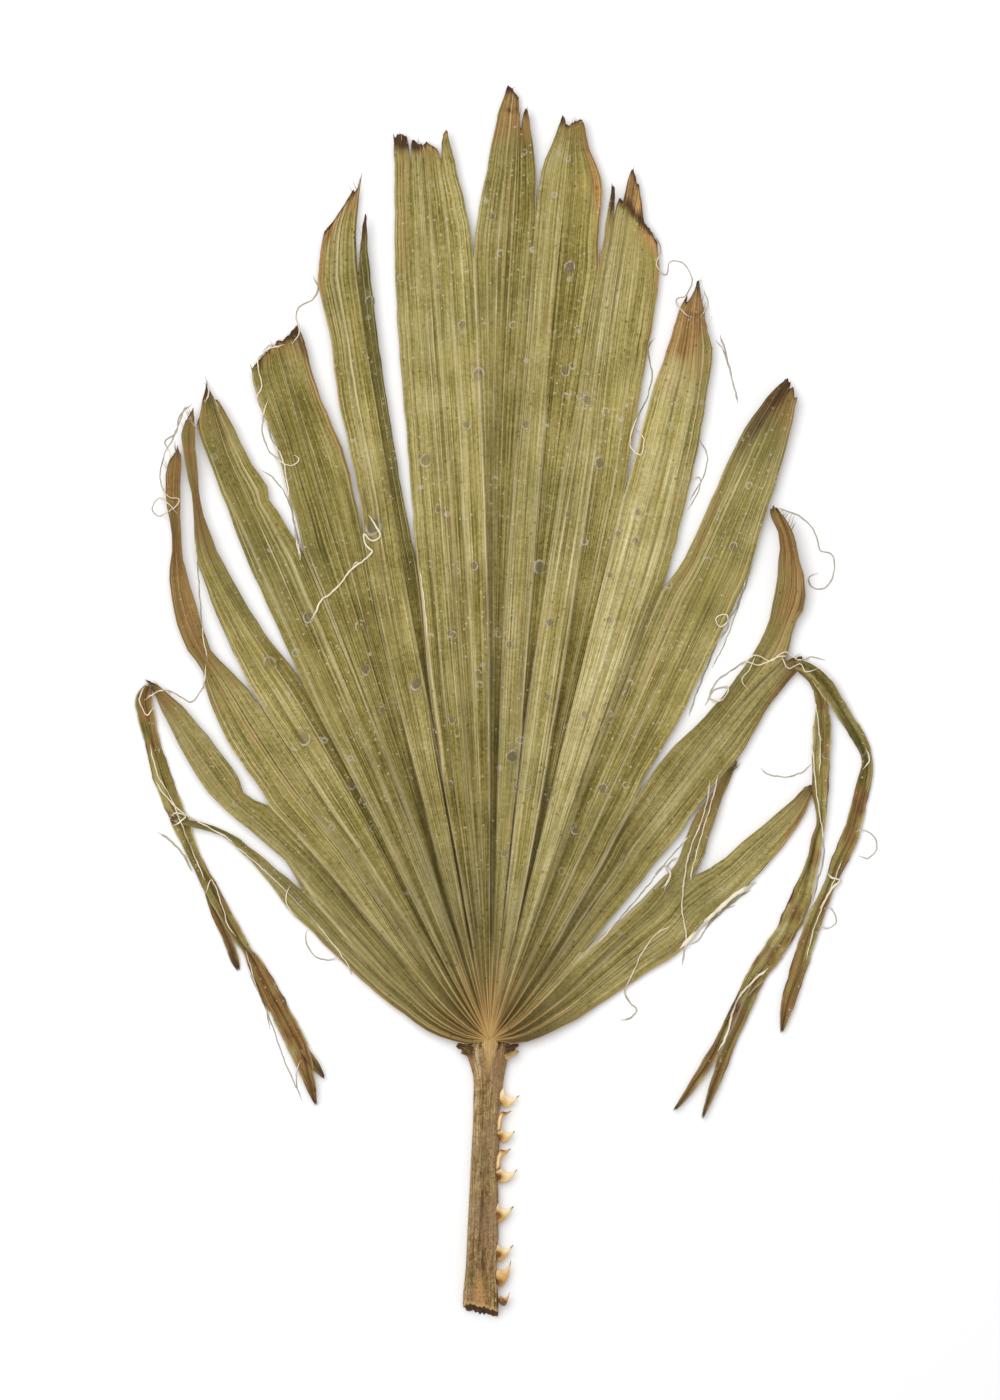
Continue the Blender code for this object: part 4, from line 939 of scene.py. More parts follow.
@dataclass(frozen=True)
class ToothFinish:
    """Hard teeth: cream and amber, orange at the heart, brown at the point."""

    name: str = "amber_tooth"
    cream: Colour = (0.86, 0.69, 0.39)
    amber: Colour = (0.56, 0.30, 0.075)
    root: Colour = (0.13, 0.045, 0.018)
    point: Colour = (0.060, 0.028, 0.016)

    def material(self) -> bpy.types.Material:
        """Build the node tree."""
        paint = Paint(self.name)
        reach, heart = paint.mark("reach"), paint.mark("heart")
        place = paint.place()
        cloud = paint.noise(place, 380.0, 3.0, 0.6)
        fibres = paint.noise(place, 1500.0, 2.0, 0.6)
        colour = paint.mix(self.cream, self.amber, (heart * 1.7 + cloud * 1.1 - 0.62).clamped())
        colour = paint.mix(colour, self.root, (heart.step(0.62, 1.08) * (0.35 + cloud)).clamped())
        colour = paint.mix(colour, self.point, reach.step(0.86, 0.97) * 0.92)
        seam = 1.0 - reach.step(0.02, 0.12)
        colour = paint.mix(colour, self.root, seam * (0.35 + cloud * 0.7))
        return paint.finish(colour, (0.26 + fibres * 0.2).clamped(), cloud + fibres * 0.3,
                            0.00015, 0.5, 0.35)


@dataclass(frozen=True)
class FibreFinish:
    """Loose plant fibres: cream to grey."""

    name: str = "loose_fibre"
    cream: Colour = (0.80, 0.72, 0.54)
    grey: Colour = (0.33, 0.30, 0.235)
    brown: Colour = (0.13, 0.060, 0.024)

    def material(self) -> bpy.types.Material:
        """Build the node tree."""
        paint = Paint(self.name)
        grey, brown = paint.mark("grey"), paint.mark("brown")
        place = paint.place()
        cloud = paint.noise(place, 260.0, 3.0, 0.6)
        colour = paint.mix(self.cream, self.grey, (grey + (cloud - 0.5) * 0.7).clamped())
        colour = paint.mix(colour, self.brown, (brown + (cloud - 0.5) * 0.5).clamped())
        return paint.finish(colour, 0.6, cloud, 0.0001, 0.4)


@dataclass(frozen=True)
class TableFinish:
    """Plain pale table."""

    name: str = "plain_table"
    colour: Colour = (0.92, 0.92, 0.925)

    def material(self) -> bpy.types.Material:
        """Build the node tree."""
        return Paint(self.name).finish(self.colour, 0.9)


@dataclass
class Sheet:
    """Closed thin sheet that is gathered from grids of points."""

    upper: list[np.ndarray] = field(default_factory=list)
    lower: list[np.ndarray] = field(default_factory=list)
    marks: dict[str, list[np.ndarray]] = field(default_factory=dict)
    faces: list[np.ndarray] = field(default_factory=list)
    under: list[list[int]] = field(default_factory=list)
    rims: list[np.ndarray] = field(default_factory=list)
    count: int = 0

    def add_points(self, upper: np.ndarray, lower: np.ndarray,
                   marks: dict[str, np.ndarray]) -> np.ndarray:
        """Take in points of both faces.

        Args:
            upper: Points of the upper face, one row each.
            lower: Points below them.
            marks: Numbers that the points carry.

        Returns:
            The points' numbers.
        """
        self.upper.append(upper)
        self.lower.append(lower)
        for name, values in marks.items():
            self.marks.setdefault(name, []).append(values)
        self.count += len(upper)
        return np.arange(self.count - len(upper), self.count)

    def add_grid(self, ids: np.ndarray, left_rim: int, right_rim: int, step: int = 1,
                 fine_rows: int = 0) -> None:
        """Span a grid of points with faces.

        Args:
            ids: Point numbers, one row of the grid each.
            left_rim: Row from which the left side is an open edge.
            right_rim: Row from which the right side is an open edge.
            step: Columns that one face of the underside takes in.
            fine_rows: Rows at the end where the underside is as fine as the top.
        """
        quads = np.stack([ids[:-1, :-1], ids[:-1, 1:], ids[1:, 1:], ids[1:, :-1]], axis=-1)
        self.faces.append(quads.reshape(-1, 4))
        self.rims.append(np.stack([ids[left_rim:-1, 0], ids[left_rim + 1:, 0]], axis=-1))
        self.rims.append(np.stack([ids[right_rim + 1:, -1], ids[right_rim:-1, -1]], axis=-1))
        self.rims.append(np.stack([ids[-1, :-1], ids[-1, 1:]], axis=-1))
        self.rims.append(np.stack([ids[0, 1:], ids[0, :-1]], axis=-1))
        last = len(ids) - 1 - fine_rows
        for row in range(len(ids) - 1):
            near = 1 if row == 0 or row >= last else step
            far = 1 if row + 1 >= last else step
            for column in range(0, ids.shape[1] - 1, max(near, far)):
                stop = column + max(near, far)
                back = ids[row, column:stop + 1:near].tolist()
                front = ids[row + 1, column:stop + 1:far].tolist()
                self.under.append(back[::-1] + front)

    def build(self, name: str, crisp: float = 55.0) -> bpy.types.Object:
        """Make the closed mesh.

        Args:
            name: The piece's name.
            crisp: Degrees from which an edge is drawn sharp.

        Returns:
            The piece.
        """
        points = np.vstack(self.upper + self.lower) * MM
        upper = np.vstack(self.faces)
        rims = np.vstack(self.rims)
        lower = [[corner + self.count for corner in face] for face in self.under]
        sides = np.stack([rims[:, 1], rims[:, 0], rims[:, 0] + self.count,
                          rims[:, 1] + self.count], axis=-1)
        marks = {key: np.tile(np.concatenate(parts), 2) for key, parts in self.marks.items()}
        return make_piece(name, points, upper.tolist() + lower + sides.tolist(), marks, crisp)


def make_piece(name: str, points: np.ndarray, faces: list, marks: dict[str, np.ndarray],
               crisp: float = 55.0) -> bpy.types.Object:
    """Turn points and faces into an object that rides on the leaf.

    Args:
        name: The piece's name.
        points: Corners, in metres.
        faces: Corner numbers of each face.
        marks: Numbers that the corners carry.
        crisp: Degrees from which an edge is drawn sharp.

    Returns:
        The piece.
    """
    mesh = bpy.data.meshes.new(name)
    mesh.from_pydata(points.tolist(), [], faces)
    for key, values in marks.items():
        layer = mesh.attributes.new(key, "FLOAT", "POINT")
        layer.data.foreach_set("value", np.asarray(values, np.float32))
    tidy = bmesh.new()
    tidy.from_mesh(mesh)
    loose = [corner for corner in tidy.verts if not corner.link_faces]
    bmesh.ops.delete(tidy, geom=loose, context="VERTS")
    bmesh.ops.recalc_face_normals(tidy, faces=tidy.faces[:])
    tidy.to_mesh(mesh)
    tidy.free()
    mesh.shade_smooth()
    mesh.set_sharp_from_angle(angle=math.radians(crisp))
    made = bpy.data.objects.new(name, mesh)
    bpy.context.scene.collection.objects.link(made)
    return made


def dress(piece: bpy.types.Object, material: bpy.types.Material, slot: str,
          *nodes: str) -> bpy.types.Object:
    """Give a piece its material and its body, and hide the solids that it stands for.

    Args:
        piece: The piece.
        material: Its material.
        slot: Not used.
        nodes: Solids that the piece replaces.

    Returns:
        The piece.
    """
    piece.data.materials.clear()
    piece.data.materials.append(material)
    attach(piece, BODY)
    if nodes:
        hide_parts(*nodes)
    log.info("%s: %d faces", piece.name, len(piece.data.polygons))
    return piece


class Ground:
    """What a thread or a spot can lie on: finished pieces, and the table under them."""

    def __init__(self) -> None:
        """Start with the bare table."""
        self.pieces: list[bpy.types.Object] = []
        self.trees: list[BVHTree] = []

    def add(self, piece: bpy.types.Object) -> None:
        """Take in a finished piece."""
        corners = [vertex.co[:] for vertex in piece.data.vertices]
        faces = [tuple(face.vertices) for face in piece.data.polygons]
        self.pieces.append(piece)
        self.trees.append(BVHTree.FromPolygons(corners, faces))

    def find(self, x: float, y: float) -> tuple[float, int, int]:
        """Look down on a place.

        Args:
            x: Millimetres to the right of the origin.
            y: Millimetres above it.

        Returns:
            Height in millimetres, number of the piece that lies there and of its face, or -1.
        """
        start = Vector((x * MM, y * MM, 0.05))
        best = (0.0, -1, -1)
        for number, tree in enumerate(self.trees):
            hit, _, face, _ = tree.ray_cast(start, Vector((0, 0, -1)))
            if hit is not None and hit.z / MM > best[0]:
                best = (hit.z / MM, number, face)
        return best

    def height(self, x: float, y: float) -> float:
        """Height of the highest surface at a place, in millimetres."""
        return self.find(x, y)[0]

    def marks(self, x: float, y: float, names: tuple[str, ...]) -> list[float]:
        """Numbers that the surface carries at a place.

        Args:
            x: Millimetres to the right of the origin.
            y: Millimetres above it.
            names: Names of the numbers.

        Returns:
            The numbers, or none where only the table is.
        """
        height, number, face = self.find(x, y)
        if number < 0:
            return []
        mesh = self.pieces[number].data
        corners = list(mesh.polygons[face].vertices)
        weights = poly_3d_calc([mesh.vertices[corner].co for corner in corners],
                               Vector((x, y, height)) * MM)
        found = []
        for name in names:
            layer = mesh.attributes[name].data if name in mesh.attributes else None
            values = [layer[corner].value if layer else 0.0 for corner in corners]
            found.append(sum(weight * value for weight, value in zip(weights, values)))
        return found


@dataclass
class LeafBlade:
    """The pleated fan."""

    pleat_height: float = 2.6
    steepest_pleat: float = 0.8
    outer_edge_share: float = 0.4
    pleat_sag: float = 0.08
    base_lift: float = 3.4
    base_slope_end: float = 66.0
    costa_height: float = 1.2
    costa_half_width: float = 2.0
    costa_end: float = 34.0
    swing_start: float = 96.0
    swing_power: float = 2.5
    fold_inset: float = 0.1
    underside: float = 0.2
    thickness: float = 0.62
    hub_rows: tuple[float, ...] = (1.6, 3.0, 4.6, 6.4, 8.2)
    row_pitch: float = 5.2
    reach: float = 386.0
    half_cells: int = 28
    under_step: int = 7
    tip_rows: int = 9
    tip_reach: float = 4.0
    rib_count: int = 16
    edge_wear: float = 0.22
    buckle: float = 0.35
    finish: LeafFinish = LeafFinish()

    def swing(self, angle: np.ndarray, radius: np.ndarray) -> np.ndarray:
        """How far a line near the stalk swings out towards the blade's lower edge."""
        total = np.zeros(np.shape(radius))
        for edge, sign in ((RIGHT_EDGE, 1), (LEFT_EDGE, -1)):
            full = float(smooth_curve(edge, np.array(self.swing_start)))
            share = np.clip(angle / full, 0, None) ** self.swing_power
            moved = (smooth_curve(edge, radius) - full) * share
            total = np.where((angle * sign > 0) & (radius < self.swing_start), moved, total)
        return total

    def split(self, index: int) -> float:
        """Distance at which two neighbouring segments part."""
        return MARGINS[index - 1].split if 0 < index < len(SEGMENTS) else 0.0

    def margin_angle(self, index: int, radius: np.ndarray, side: int) -> np.ndarray:
        """Angle of a segment edge.

        Args:
            index: Number of the edge, from the left.
            radius: Distances from the stalk's end.
            side: 0 for the segment on its left, 1 for that on its right.

        Returns:
            Angles in degrees.
        """
        if index == 0:
            return smooth_curve(LEFT_EDGE, radius)
        if index == len(SEGMENTS):
            return smooth_curve(RIGHT_EDGE, radius)
        margin = MARGINS[index - 1]
        shared = smooth_curve(margin.line, radius)
        shared = shared + self.swing(shared, radius)
        free = SEGMENTS[index].left if side else SEGMENTS[index - 1].right
        return np.where(radius <= margin.split, shared, smooth_curve(free, radius))

    def fold_angle(self, index: int, radius: np.ndarray) -> np.ndarray:
        """Angle of a segment's fold line, kept between the segment's edges."""
        angle = smooth_curve(SEGMENTS[index].fold, radius)
        angle = angle + self.swing(angle, radius)
        left = self.margin_angle(index, radius, 1)
        right = self.margin_angle(index + 1, radius, 0)
        inset = self.fold_inset * (right - left)
        return np.minimum(np.maximum(angle, left + inset), right - inset)

    def ridge_height(self, index: int, radius: np.ndarray, side: int) -> np.ndarray:
        """Height of a segment edge over the folds beside it."""
        halves = []
        shared = radius <= self.split(index)
        if index < len(SEGMENTS):
            half = self.fold_angle(index, radius) - self.margin_angle(index, radius, 1)
            halves.append(half if side else np.where(shared, half, np.inf))
        if index > 0:
            half = self.margin_angle(index, radius, 0) - self.fold_angle(index - 1, radius)
            halves.append(half if not side else np.where(shared, half, np.inf))
        narrow = np.radians(np.minimum.reduce(halves)) * radius
        height = np.minimum(self.pleat_height, self.steepest_pleat * narrow)
        return height * (self.outer_edge_share if index in (0, len(SEGMENTS)) else 1.0)

    def lift(self, index: int, radius: np.ndarray) -> np.ndarray:
        """Height of a segment's fold line over the table."""
        base = self.base_lift * (1 - ease(radius / self.base_slope_end))
        start = max(self.split(index), self.split(index + 1))
        reach = max(end for _, end in SEGMENTS[index].ends) - start
        return base + SEGMENTS[index].lift * ease((radius - start) / reach)

    def columns(self) -> np.ndarray:
        """Places across a segment, closer together beside its edges and its fold."""
        even = np.linspace(0, 1, self.half_cells + 1)
        bunched = 0.5 - 0.5 * np.cos(np.pi * even)
        half = (even + bunched) / 4
        return np.concatenate([half, 0.5 + half[1:]])

    def end_reach(self, index: int, across: np.ndarray) -> np.ndarray:
        """How far each column of a segment reaches, with torn fibres at its end."""
        segment = SEGMENTS[index]
        places, reaches = zip(*segment.ends)
        ends = np.interp(across, places, reaches)
        draw = np.random.default_rng(400 + index)
        torn = draw.uniform(0, 1, len(across)) * 0.7 + np.abs(ripple(across, 70 + index, 0.3)) * 0.6
        return ends - segment.rag * torn

    def rows(self, index: int, ends: np.ndarray) -> np.ndarray:
        """Distances of all points of a segment, one row each.

        Args:
            index: Number of the segment.
            ends: Reach of each column.

        Returns:
            Distances as (row, column).
        """
        splits = max(self.split(index), self.split(index + 1))
        shoulder = max(splits, float(ends.min()) - self.tip_reach)
        stations = [r for r in self.stations() if r < shoulder - 1.5 or r <= splits]
        body = np.repeat(np.array(stations + [shoulder])[:, None], len(ends), axis=1)
        if stations[-1] >= shoulder:
            body = body[:-1]
        steps = np.linspace(0, 1, self.tip_rows + 1)[1:, None]
        tip = shoulder + (ends[None, :] - shoulder) * steps
        return np.vstack([body, tip])

    def stations(self) -> list[float]:
        """Distances of the rows that all segments share."""
        even = np.arange(9.7, self.reach, self.row_pitch)
        splits = [margin.split for margin in MARGINS]
        kept = [r for r in even if min(abs(r - split) for split in splits) > 1.2]
        return sorted(list(self.hub_rows) + kept + [float(split) for split in set(splits)])

    def surface(self, index: int, radius: np.ndarray, across: np.ndarray) -> dict:
        """Shape of a segment.

        Args:
            index: Number of the segment.
            radius: Distances from the stalk's end.
            across: Places across the segment, from 0 to 1.

        Returns:
            Angle, height of the underside and distances to the edges, by name.
        """
        left = self.margin_angle(index, radius, 1)
        fold = self.fold_angle(index, radius)
        right = self.margin_angle(index + 1, radius, 0)
        wear = self.edge_wear / radius * 57.3
        free_left = radius > self.split(index)
        free_right = radius > self.split(index + 1)
        left = left + np.where(free_left, ripple(radius, 20 + index, 17) * wear, 0)
        right = right - np.where(free_right, ripple(radius, 50 + index, 13) * wear, 0)
        first = across < 0.5
        weight = np.abs(1 - 2 * across)
        angle = fold + np.where(first, left - fold, right - fold) * weight
        ridge = np.where(first, self.ridge_height(index, radius, 1),
                         self.ridge_height(index + 1, radius, 0))
        rise = ridge * (weight - 4 * self.pleat_sag * weight * (1 - weight))
        turn = np.radians(angle)
        x, y = radius * np.sin(turn), radius * np.cos(turn)
        aside = x / self.costa_half_width
        costa = self.costa_height * np.exp(-aside * aside) * (1 - ease(radius / self.costa_end))
        hub = 1.5 * (1 - ease((radius - 5) / 9))
        to_left = np.radians(angle - left) * radius
        to_right = np.radians(right - angle) * radius
        return {
            "angle": angle, "x": x, "y": y,
            "z": self.lift(index, radius) + rise + costa + hub,
            "to_left": np.where(free_left, to_left, 99.0),
            "to_right": np.where(free_right, to_right, 99.0),
            "from_left": to_left, "from_right": to_right,
            "from_fold": np.abs(np.radians(angle - fold)) * radius,
        }

    def creases(self, radius: np.ndarray, angle: np.ndarray) -> dict[str, np.ndarray]:
        """Strength of the drawn lines at each point, by tint."""
        drawn = {tint: np.zeros(radius.shape) for tint in Tint}
        for number, crease in enumerate(CREASES):
            first, last = crease.line[0][0], crease.line[-1][0]
            middle = smooth_curve(crease.line, radius)
            wander = ripple(radius, 900 + number, 60) * 0.12
            away = (np.radians(angle - middle) * radius + wander) / crease.width
            fade = ease((radius - first + 8) / 14) * (1 - ease((radius - last + 10) / 20))
            uneven = 0.82 + 0.18 * ripple(radius, 300 + number, 34)
            mask = crease.strength * np.exp(-away * away) * fade * uneven
            drawn[crease.tint] = np.maximum(drawn[crease.tint], mask)
        return {tint.value: values for tint, values in drawn.items()}

    def ribs(self, index: int, radius: np.ndarray) -> tuple[np.ndarray, np.ndarray]:
        """Thin pale and dark ribs that each run along one column of a segment.

        Args:
            index: Number of the segment.
            radius: Distances from the stalk's end, as (row, column).

        Returns:
            Strength of the pale ribs and of the dark ones.
        """
        draw = np.random.default_rng(1200 + index)
        pale, dark = np.zeros(radius.shape), np.zeros(radius.shape)
        last = radius.shape[1] - 1
        for number in range(self.rib_count):
            column = int(draw.integers(2, last - 1))
            start, length = float(draw.uniform(-60, 220)), float(draw.uniform(90, 330))
            strength = float(draw.uniform(0.3, 0.9))
            target = pale if draw.random() < 0.45 else dark
            r = radius[:, column]
            run = ease((r - start) / 25) * (1 - ease((r - start - length) / 30))
            line = strength * run * (0.7 + 0.3 * ripple(r, 1300 + 40 * index + number, 40))
            target[:, column] = np.maximum(target[:, column], line)
        fold, edge = last // 2, 0.9 * (0.6 + 0.4 * ripple(radius[:, 0], 1800 + index, 90))
        crease = 0.85 * (0.65 + 0.35 * ripple(radius[:, 0], 1900 + index, 80))
        pale[:, 1] = np.maximum(pale[:, 1], 0.55 * edge)
        pale[:, 0] = np.maximum(pale[:, 0], 0.8 * edge)
        pale[:, -1] = np.maximum(pale[:, -1], 0.8 * edge)
        # Painted shade just inside the right edge.
        dark[:, -3] = np.maximum(dark[:, -3], 0.8 * edge)
        dark[:, -2] = np.maximum(dark[:, -2], 0.7 * edge)
        # Painted shade on the far side of the fold, fading away from it.
        for beyond, share in enumerate((1.0, 0.55, 0.4, 0.25)):
            dark[:, fold + beyond] = np.maximum(dark[:, fold + beyond], share * crease)
        pale[:, fold - 2] = np.maximum(pale[:, fold - 2], 0.55 * crease)
        return np.clip(pale, 0, 1), np.clip(dark, 0, 1)

    def hub_lines(self, index: int, radius: np.ndarray, across: np.ndarray,
                  shape: dict) -> tuple[np.ndarray, np.ndarray]:
        """Thin lines that gather towards the stalk.

        Args:
            index: Number of the segment.
            radius: Distances from the stalk's end.
            across: Places across the segment.
            shape: The segment's shape there.

        Returns:
            Strength of the cream lines and of the dark ones between them; the dark ones along the fold
            and in the gaps near the stalk are painted shade.
        """
        near = 1 - ease((radius - 30) / 100)
        wide = 0.17 + 0.0020 * radius
        draw = np.random.default_rng(2100 + index)
        pale, dark = np.zeros(radius.shape), np.zeros(radius.shape)
        for beside in ("from_left", "from_right"):
            pale = np.maximum(pale, np.exp(-(shape[beside] / wide) ** 2) * draw.uniform(0.8, 1.1))
        width = shape["from_left"] + shape["from_right"]
        for _ in range(5):
            away = np.abs(across - draw.uniform(0.1, 0.9)) * width / wide
            last = draw.uniform(30, 90)
            line = np.exp(-away ** 2) * draw.uniform(0.3, 0.8) * (1 - ease((radius - last) / 30))
            if draw.random() < 0.5:
                pale = np.maximum(pale, line)
            else:
                dark = np.maximum(dark, line)
        # Painted shade along the fold.
        dark = np.maximum(dark, np.exp(-(shape["from_fold"] / (1.3 * wide)) ** 2) * 0.9)
        # Painted shade in the gaps between the lines near the stalk.
        gaps = (1 - ease((radius - 18) / 40)) * (1 - pale) * 0.9
        vary = 0.75 + 0.35 * ripple(radius, 2200 + index, 40)
        return pale * near * vary, np.maximum(dark * near, gaps) * (1 - 0.8 * pale)

    def marks(self, index: int, radius: np.ndarray, across: np.ndarray, ends: np.ndarray,
              shape: dict) -> dict[str, np.ndarray]:
        """What the finish reads at each point of a segment.

        Args:
            index: Number of the segment.
            radius: Distances from the stalk's end.
            across: Places across the segment.
            ends: Reach of each column.
            shape: The segment's shape there.

        Returns:
            Numbers by name.
        """
        segment = SEGMENTS[index]
        # Half tones are partly the tissue's own colour and partly painted shade on the steep halves.
        first, second = segment.halves
        outwards = ease((radius - 60) / 190)
        left = first.inner.value + (first.outer.value - first.inner.value) * outwards
        right = second.inner.value + (second.outer.value - second.inner.value) * outwards
        side = ease((across - 0.49) / 0.02)
        drawn = self.creases(radius, shape["angle"])
        pale_rib, dark_rib = self.ribs(index, radius)
        from_end = ends[None, :] - radius
        uneven = 1 + 0.45 * swell(shape["x"], shape["y"], 31, 16)
        tip = np.exp(-np.clip(from_end, 0, None) / (segment.stain * uneven))
        edge = np.minimum(shape["to_left"], shape["to_right"])
        worn = np.exp(-np.clip(edge, 0, None) / 0.4) * (0.45 + 0.4 * ripple(radius, 5, 40))
        brim = sum(
            share * np.exp(-np.clip(shape[beside], 0, None) / (0.35 + 1.1 * share ** 2))
            * (0.75 + 0.4 * ripple(radius, 8 + index, 50)) * ease((radius - 120) / 120)
            for share, beside in zip(segment.edging, ("to_left", "to_right"))
        )
        brown = smooth_curve(segment.browning, radius) * np.clip(uneven, 0.6, 1.3)
        low_edge = np.zeros(radius.shape)
        if index in (0, len(SEGMENTS) - 1):
            beside = shape["to_left"] if index == 0 else shape["to_right"]
            low_edge = np.exp(-beside / 1.3) * (1 - ease((radius - 60) / 60)) * 0.8
        heart = np.exp(-(shape["x"] / (3.0 + 0.05 * radius)) ** 4)
        rays = 0.7 + 0.5 * ripple(shape["angle"], 41, 5.0)
        hub = (1 - ease((radius - 10) / 36)) * heart * rays + 0.5 * (1 - ease((radius - 3) / 9))
        start = 2 * index + across * 2
        fine = self.hub_lines(index, radius, across, shape)
        clear = 1 - np.clip(1.35 * drawn["dark"], 0, 1)
        # Painted shade from the dark creases, folds and hub gaps, together with the thin dark ribs.
        shade = np.maximum.reduce([drawn["dark"], dark_rib, fine[1]])
        return {
            "across": np.broadcast_to(start * 9.3, radius.shape).copy(),
            "along": radius,
            "tone": left + (right - left) * side - 0.06 * (1 - ease((radius - 14) / 60)),
            "pale": np.maximum.reduce([drawn["pale"], clear * pale_rib, clear * fine[0],
                                       np.clip(worn - 0.25, 0, 1) * 0.9]),
            "dark": shade,
            "rust": np.clip(np.maximum.reduce([drawn["rust"], 0.95 * tip, brown, brim,
                                               worn * 0.55, low_edge])
                            + self.patches(shape, Stain.RUST), 0, 1),
            "burnt": np.clip(np.exp(-np.clip(from_end, 0, None) / 1.2) * 0.75
                             + self.patches(shape, Stain.BURNT), 0, 1),
            "green": (first.green + (second.green - first.green) * side) * outwards,
            "straw": np.clip(hub * (1 - 0.85 * shade), 0, 1),
        }

    def patches(self, shape: dict, stain: Stain) -> np.ndarray:
        """Strength of the patches of one stain at each point."""
        total = np.zeros(shape["x"].shape)
        for patch in PATCHES:
            if patch.stain is not stain:
                continue
            x, y = from_photo(patch.x, patch.y)
            turn = math.radians(patch.lean)
            ahead = (shape["x"] - x) * math.sin(turn) + (shape["y"] - y) * math.cos(turn)
            aside = (shape["x"] - x) * math.cos(turn) - (shape["y"] - y) * math.sin(turn)
            total += patch.strength * np.exp(-(ahead / patch.long) ** 2
                                             - (aside / patch.wide) ** 2)
        return total

    def build(self) -> bpy.types.Object:
        """Make the fan in one closed sheet, parted beyond its splits."""
        sheet = Sheet()
        across = self.columns()
        shared: dict[tuple[int, float], int] = {}
        for index in range(len(SEGMENTS)):
            ends = self.end_reach(index, across)
            radius = self.rows(index, ends)
            shape = self.surface(index, radius, across)
            marks = self.marks(index, radius, across, ends, shape)
            loose = ease((radius - max(self.split(index), self.split(index + 1)) + 20) / 60)
            bump = self.buckle * (0.5 + 0.5 * swell(shape["x"], shape["y"], 77, 26)) * loose
            curl = 0.5 * np.exp(-np.minimum(shape["to_left"], shape["to_right"]) / 0.9)
            curl = curl * np.clip(ripple(radius, 150 + index, 46), 0, 1)
            under = shape["z"] + self.underside + bump + curl
            relief = 0.16 * marks["pale"] - 0.28 * marks["dark"]
            over = under + self.thickness + relief
            ids = np.empty(radius.shape, int)
            known = np.zeros(radius.shape, bool)
            for column, margin in ((0, index), (-1, index + 1)):
                if not 0 < margin < len(SEGMENTS):
                    continue
                for row in np.flatnonzero(radius[:, column] <= self.split(margin)):
                    key = (margin, round(float(radius[row, column]), 3))
                    if key in shared:
                        ids[row, column] = shared[key]
                        known[row, column] = True
            fresh = ~known
            low = np.stack([shape["x"], shape["y"], under], axis=-1)
            high = np.stack([shape["x"], shape["y"], over], axis=-1)
            kept = {name: values[fresh] for name, values in marks.items()}
            ids[fresh] = sheet.add_points(high[fresh], low[fresh], kept)
            for column, margin in ((0, index), (-1, index + 1)):
                for row in range(len(radius)):
                    key = (margin, round(float(radius[row, column]), 3))
                    shared.setdefault(key, int(ids[row, column]))
            left_rim = int(np.sum(radius[:, 0] <= self.split(index))) - 1
            right_rim = int(np.sum(radius[:, -1] <= self.split(index + 1))) - 1
            sheet.add_grid(ids, max(left_rim, 0), max(right_rim, 0), self.under_step,
                           self.tip_rows)
        made = sheet.build("leaf_fan")
        return dress(made, self.finish.material(), "dried_blade", "blade")


@dataclass(frozen=True)
class Ribbon:
    """A strip that folds back: (x, y, width, height) along its route, tone and browning."""

    name: str
    route: tuple[tuple[float, float, float, float], ...]
    tone: Tone
    browning: tuple[tuple[float, float], ...]
    twist: float = 0.5
    fray: float = 2.0
    pale: float = 0.0
    char: float = 0.2


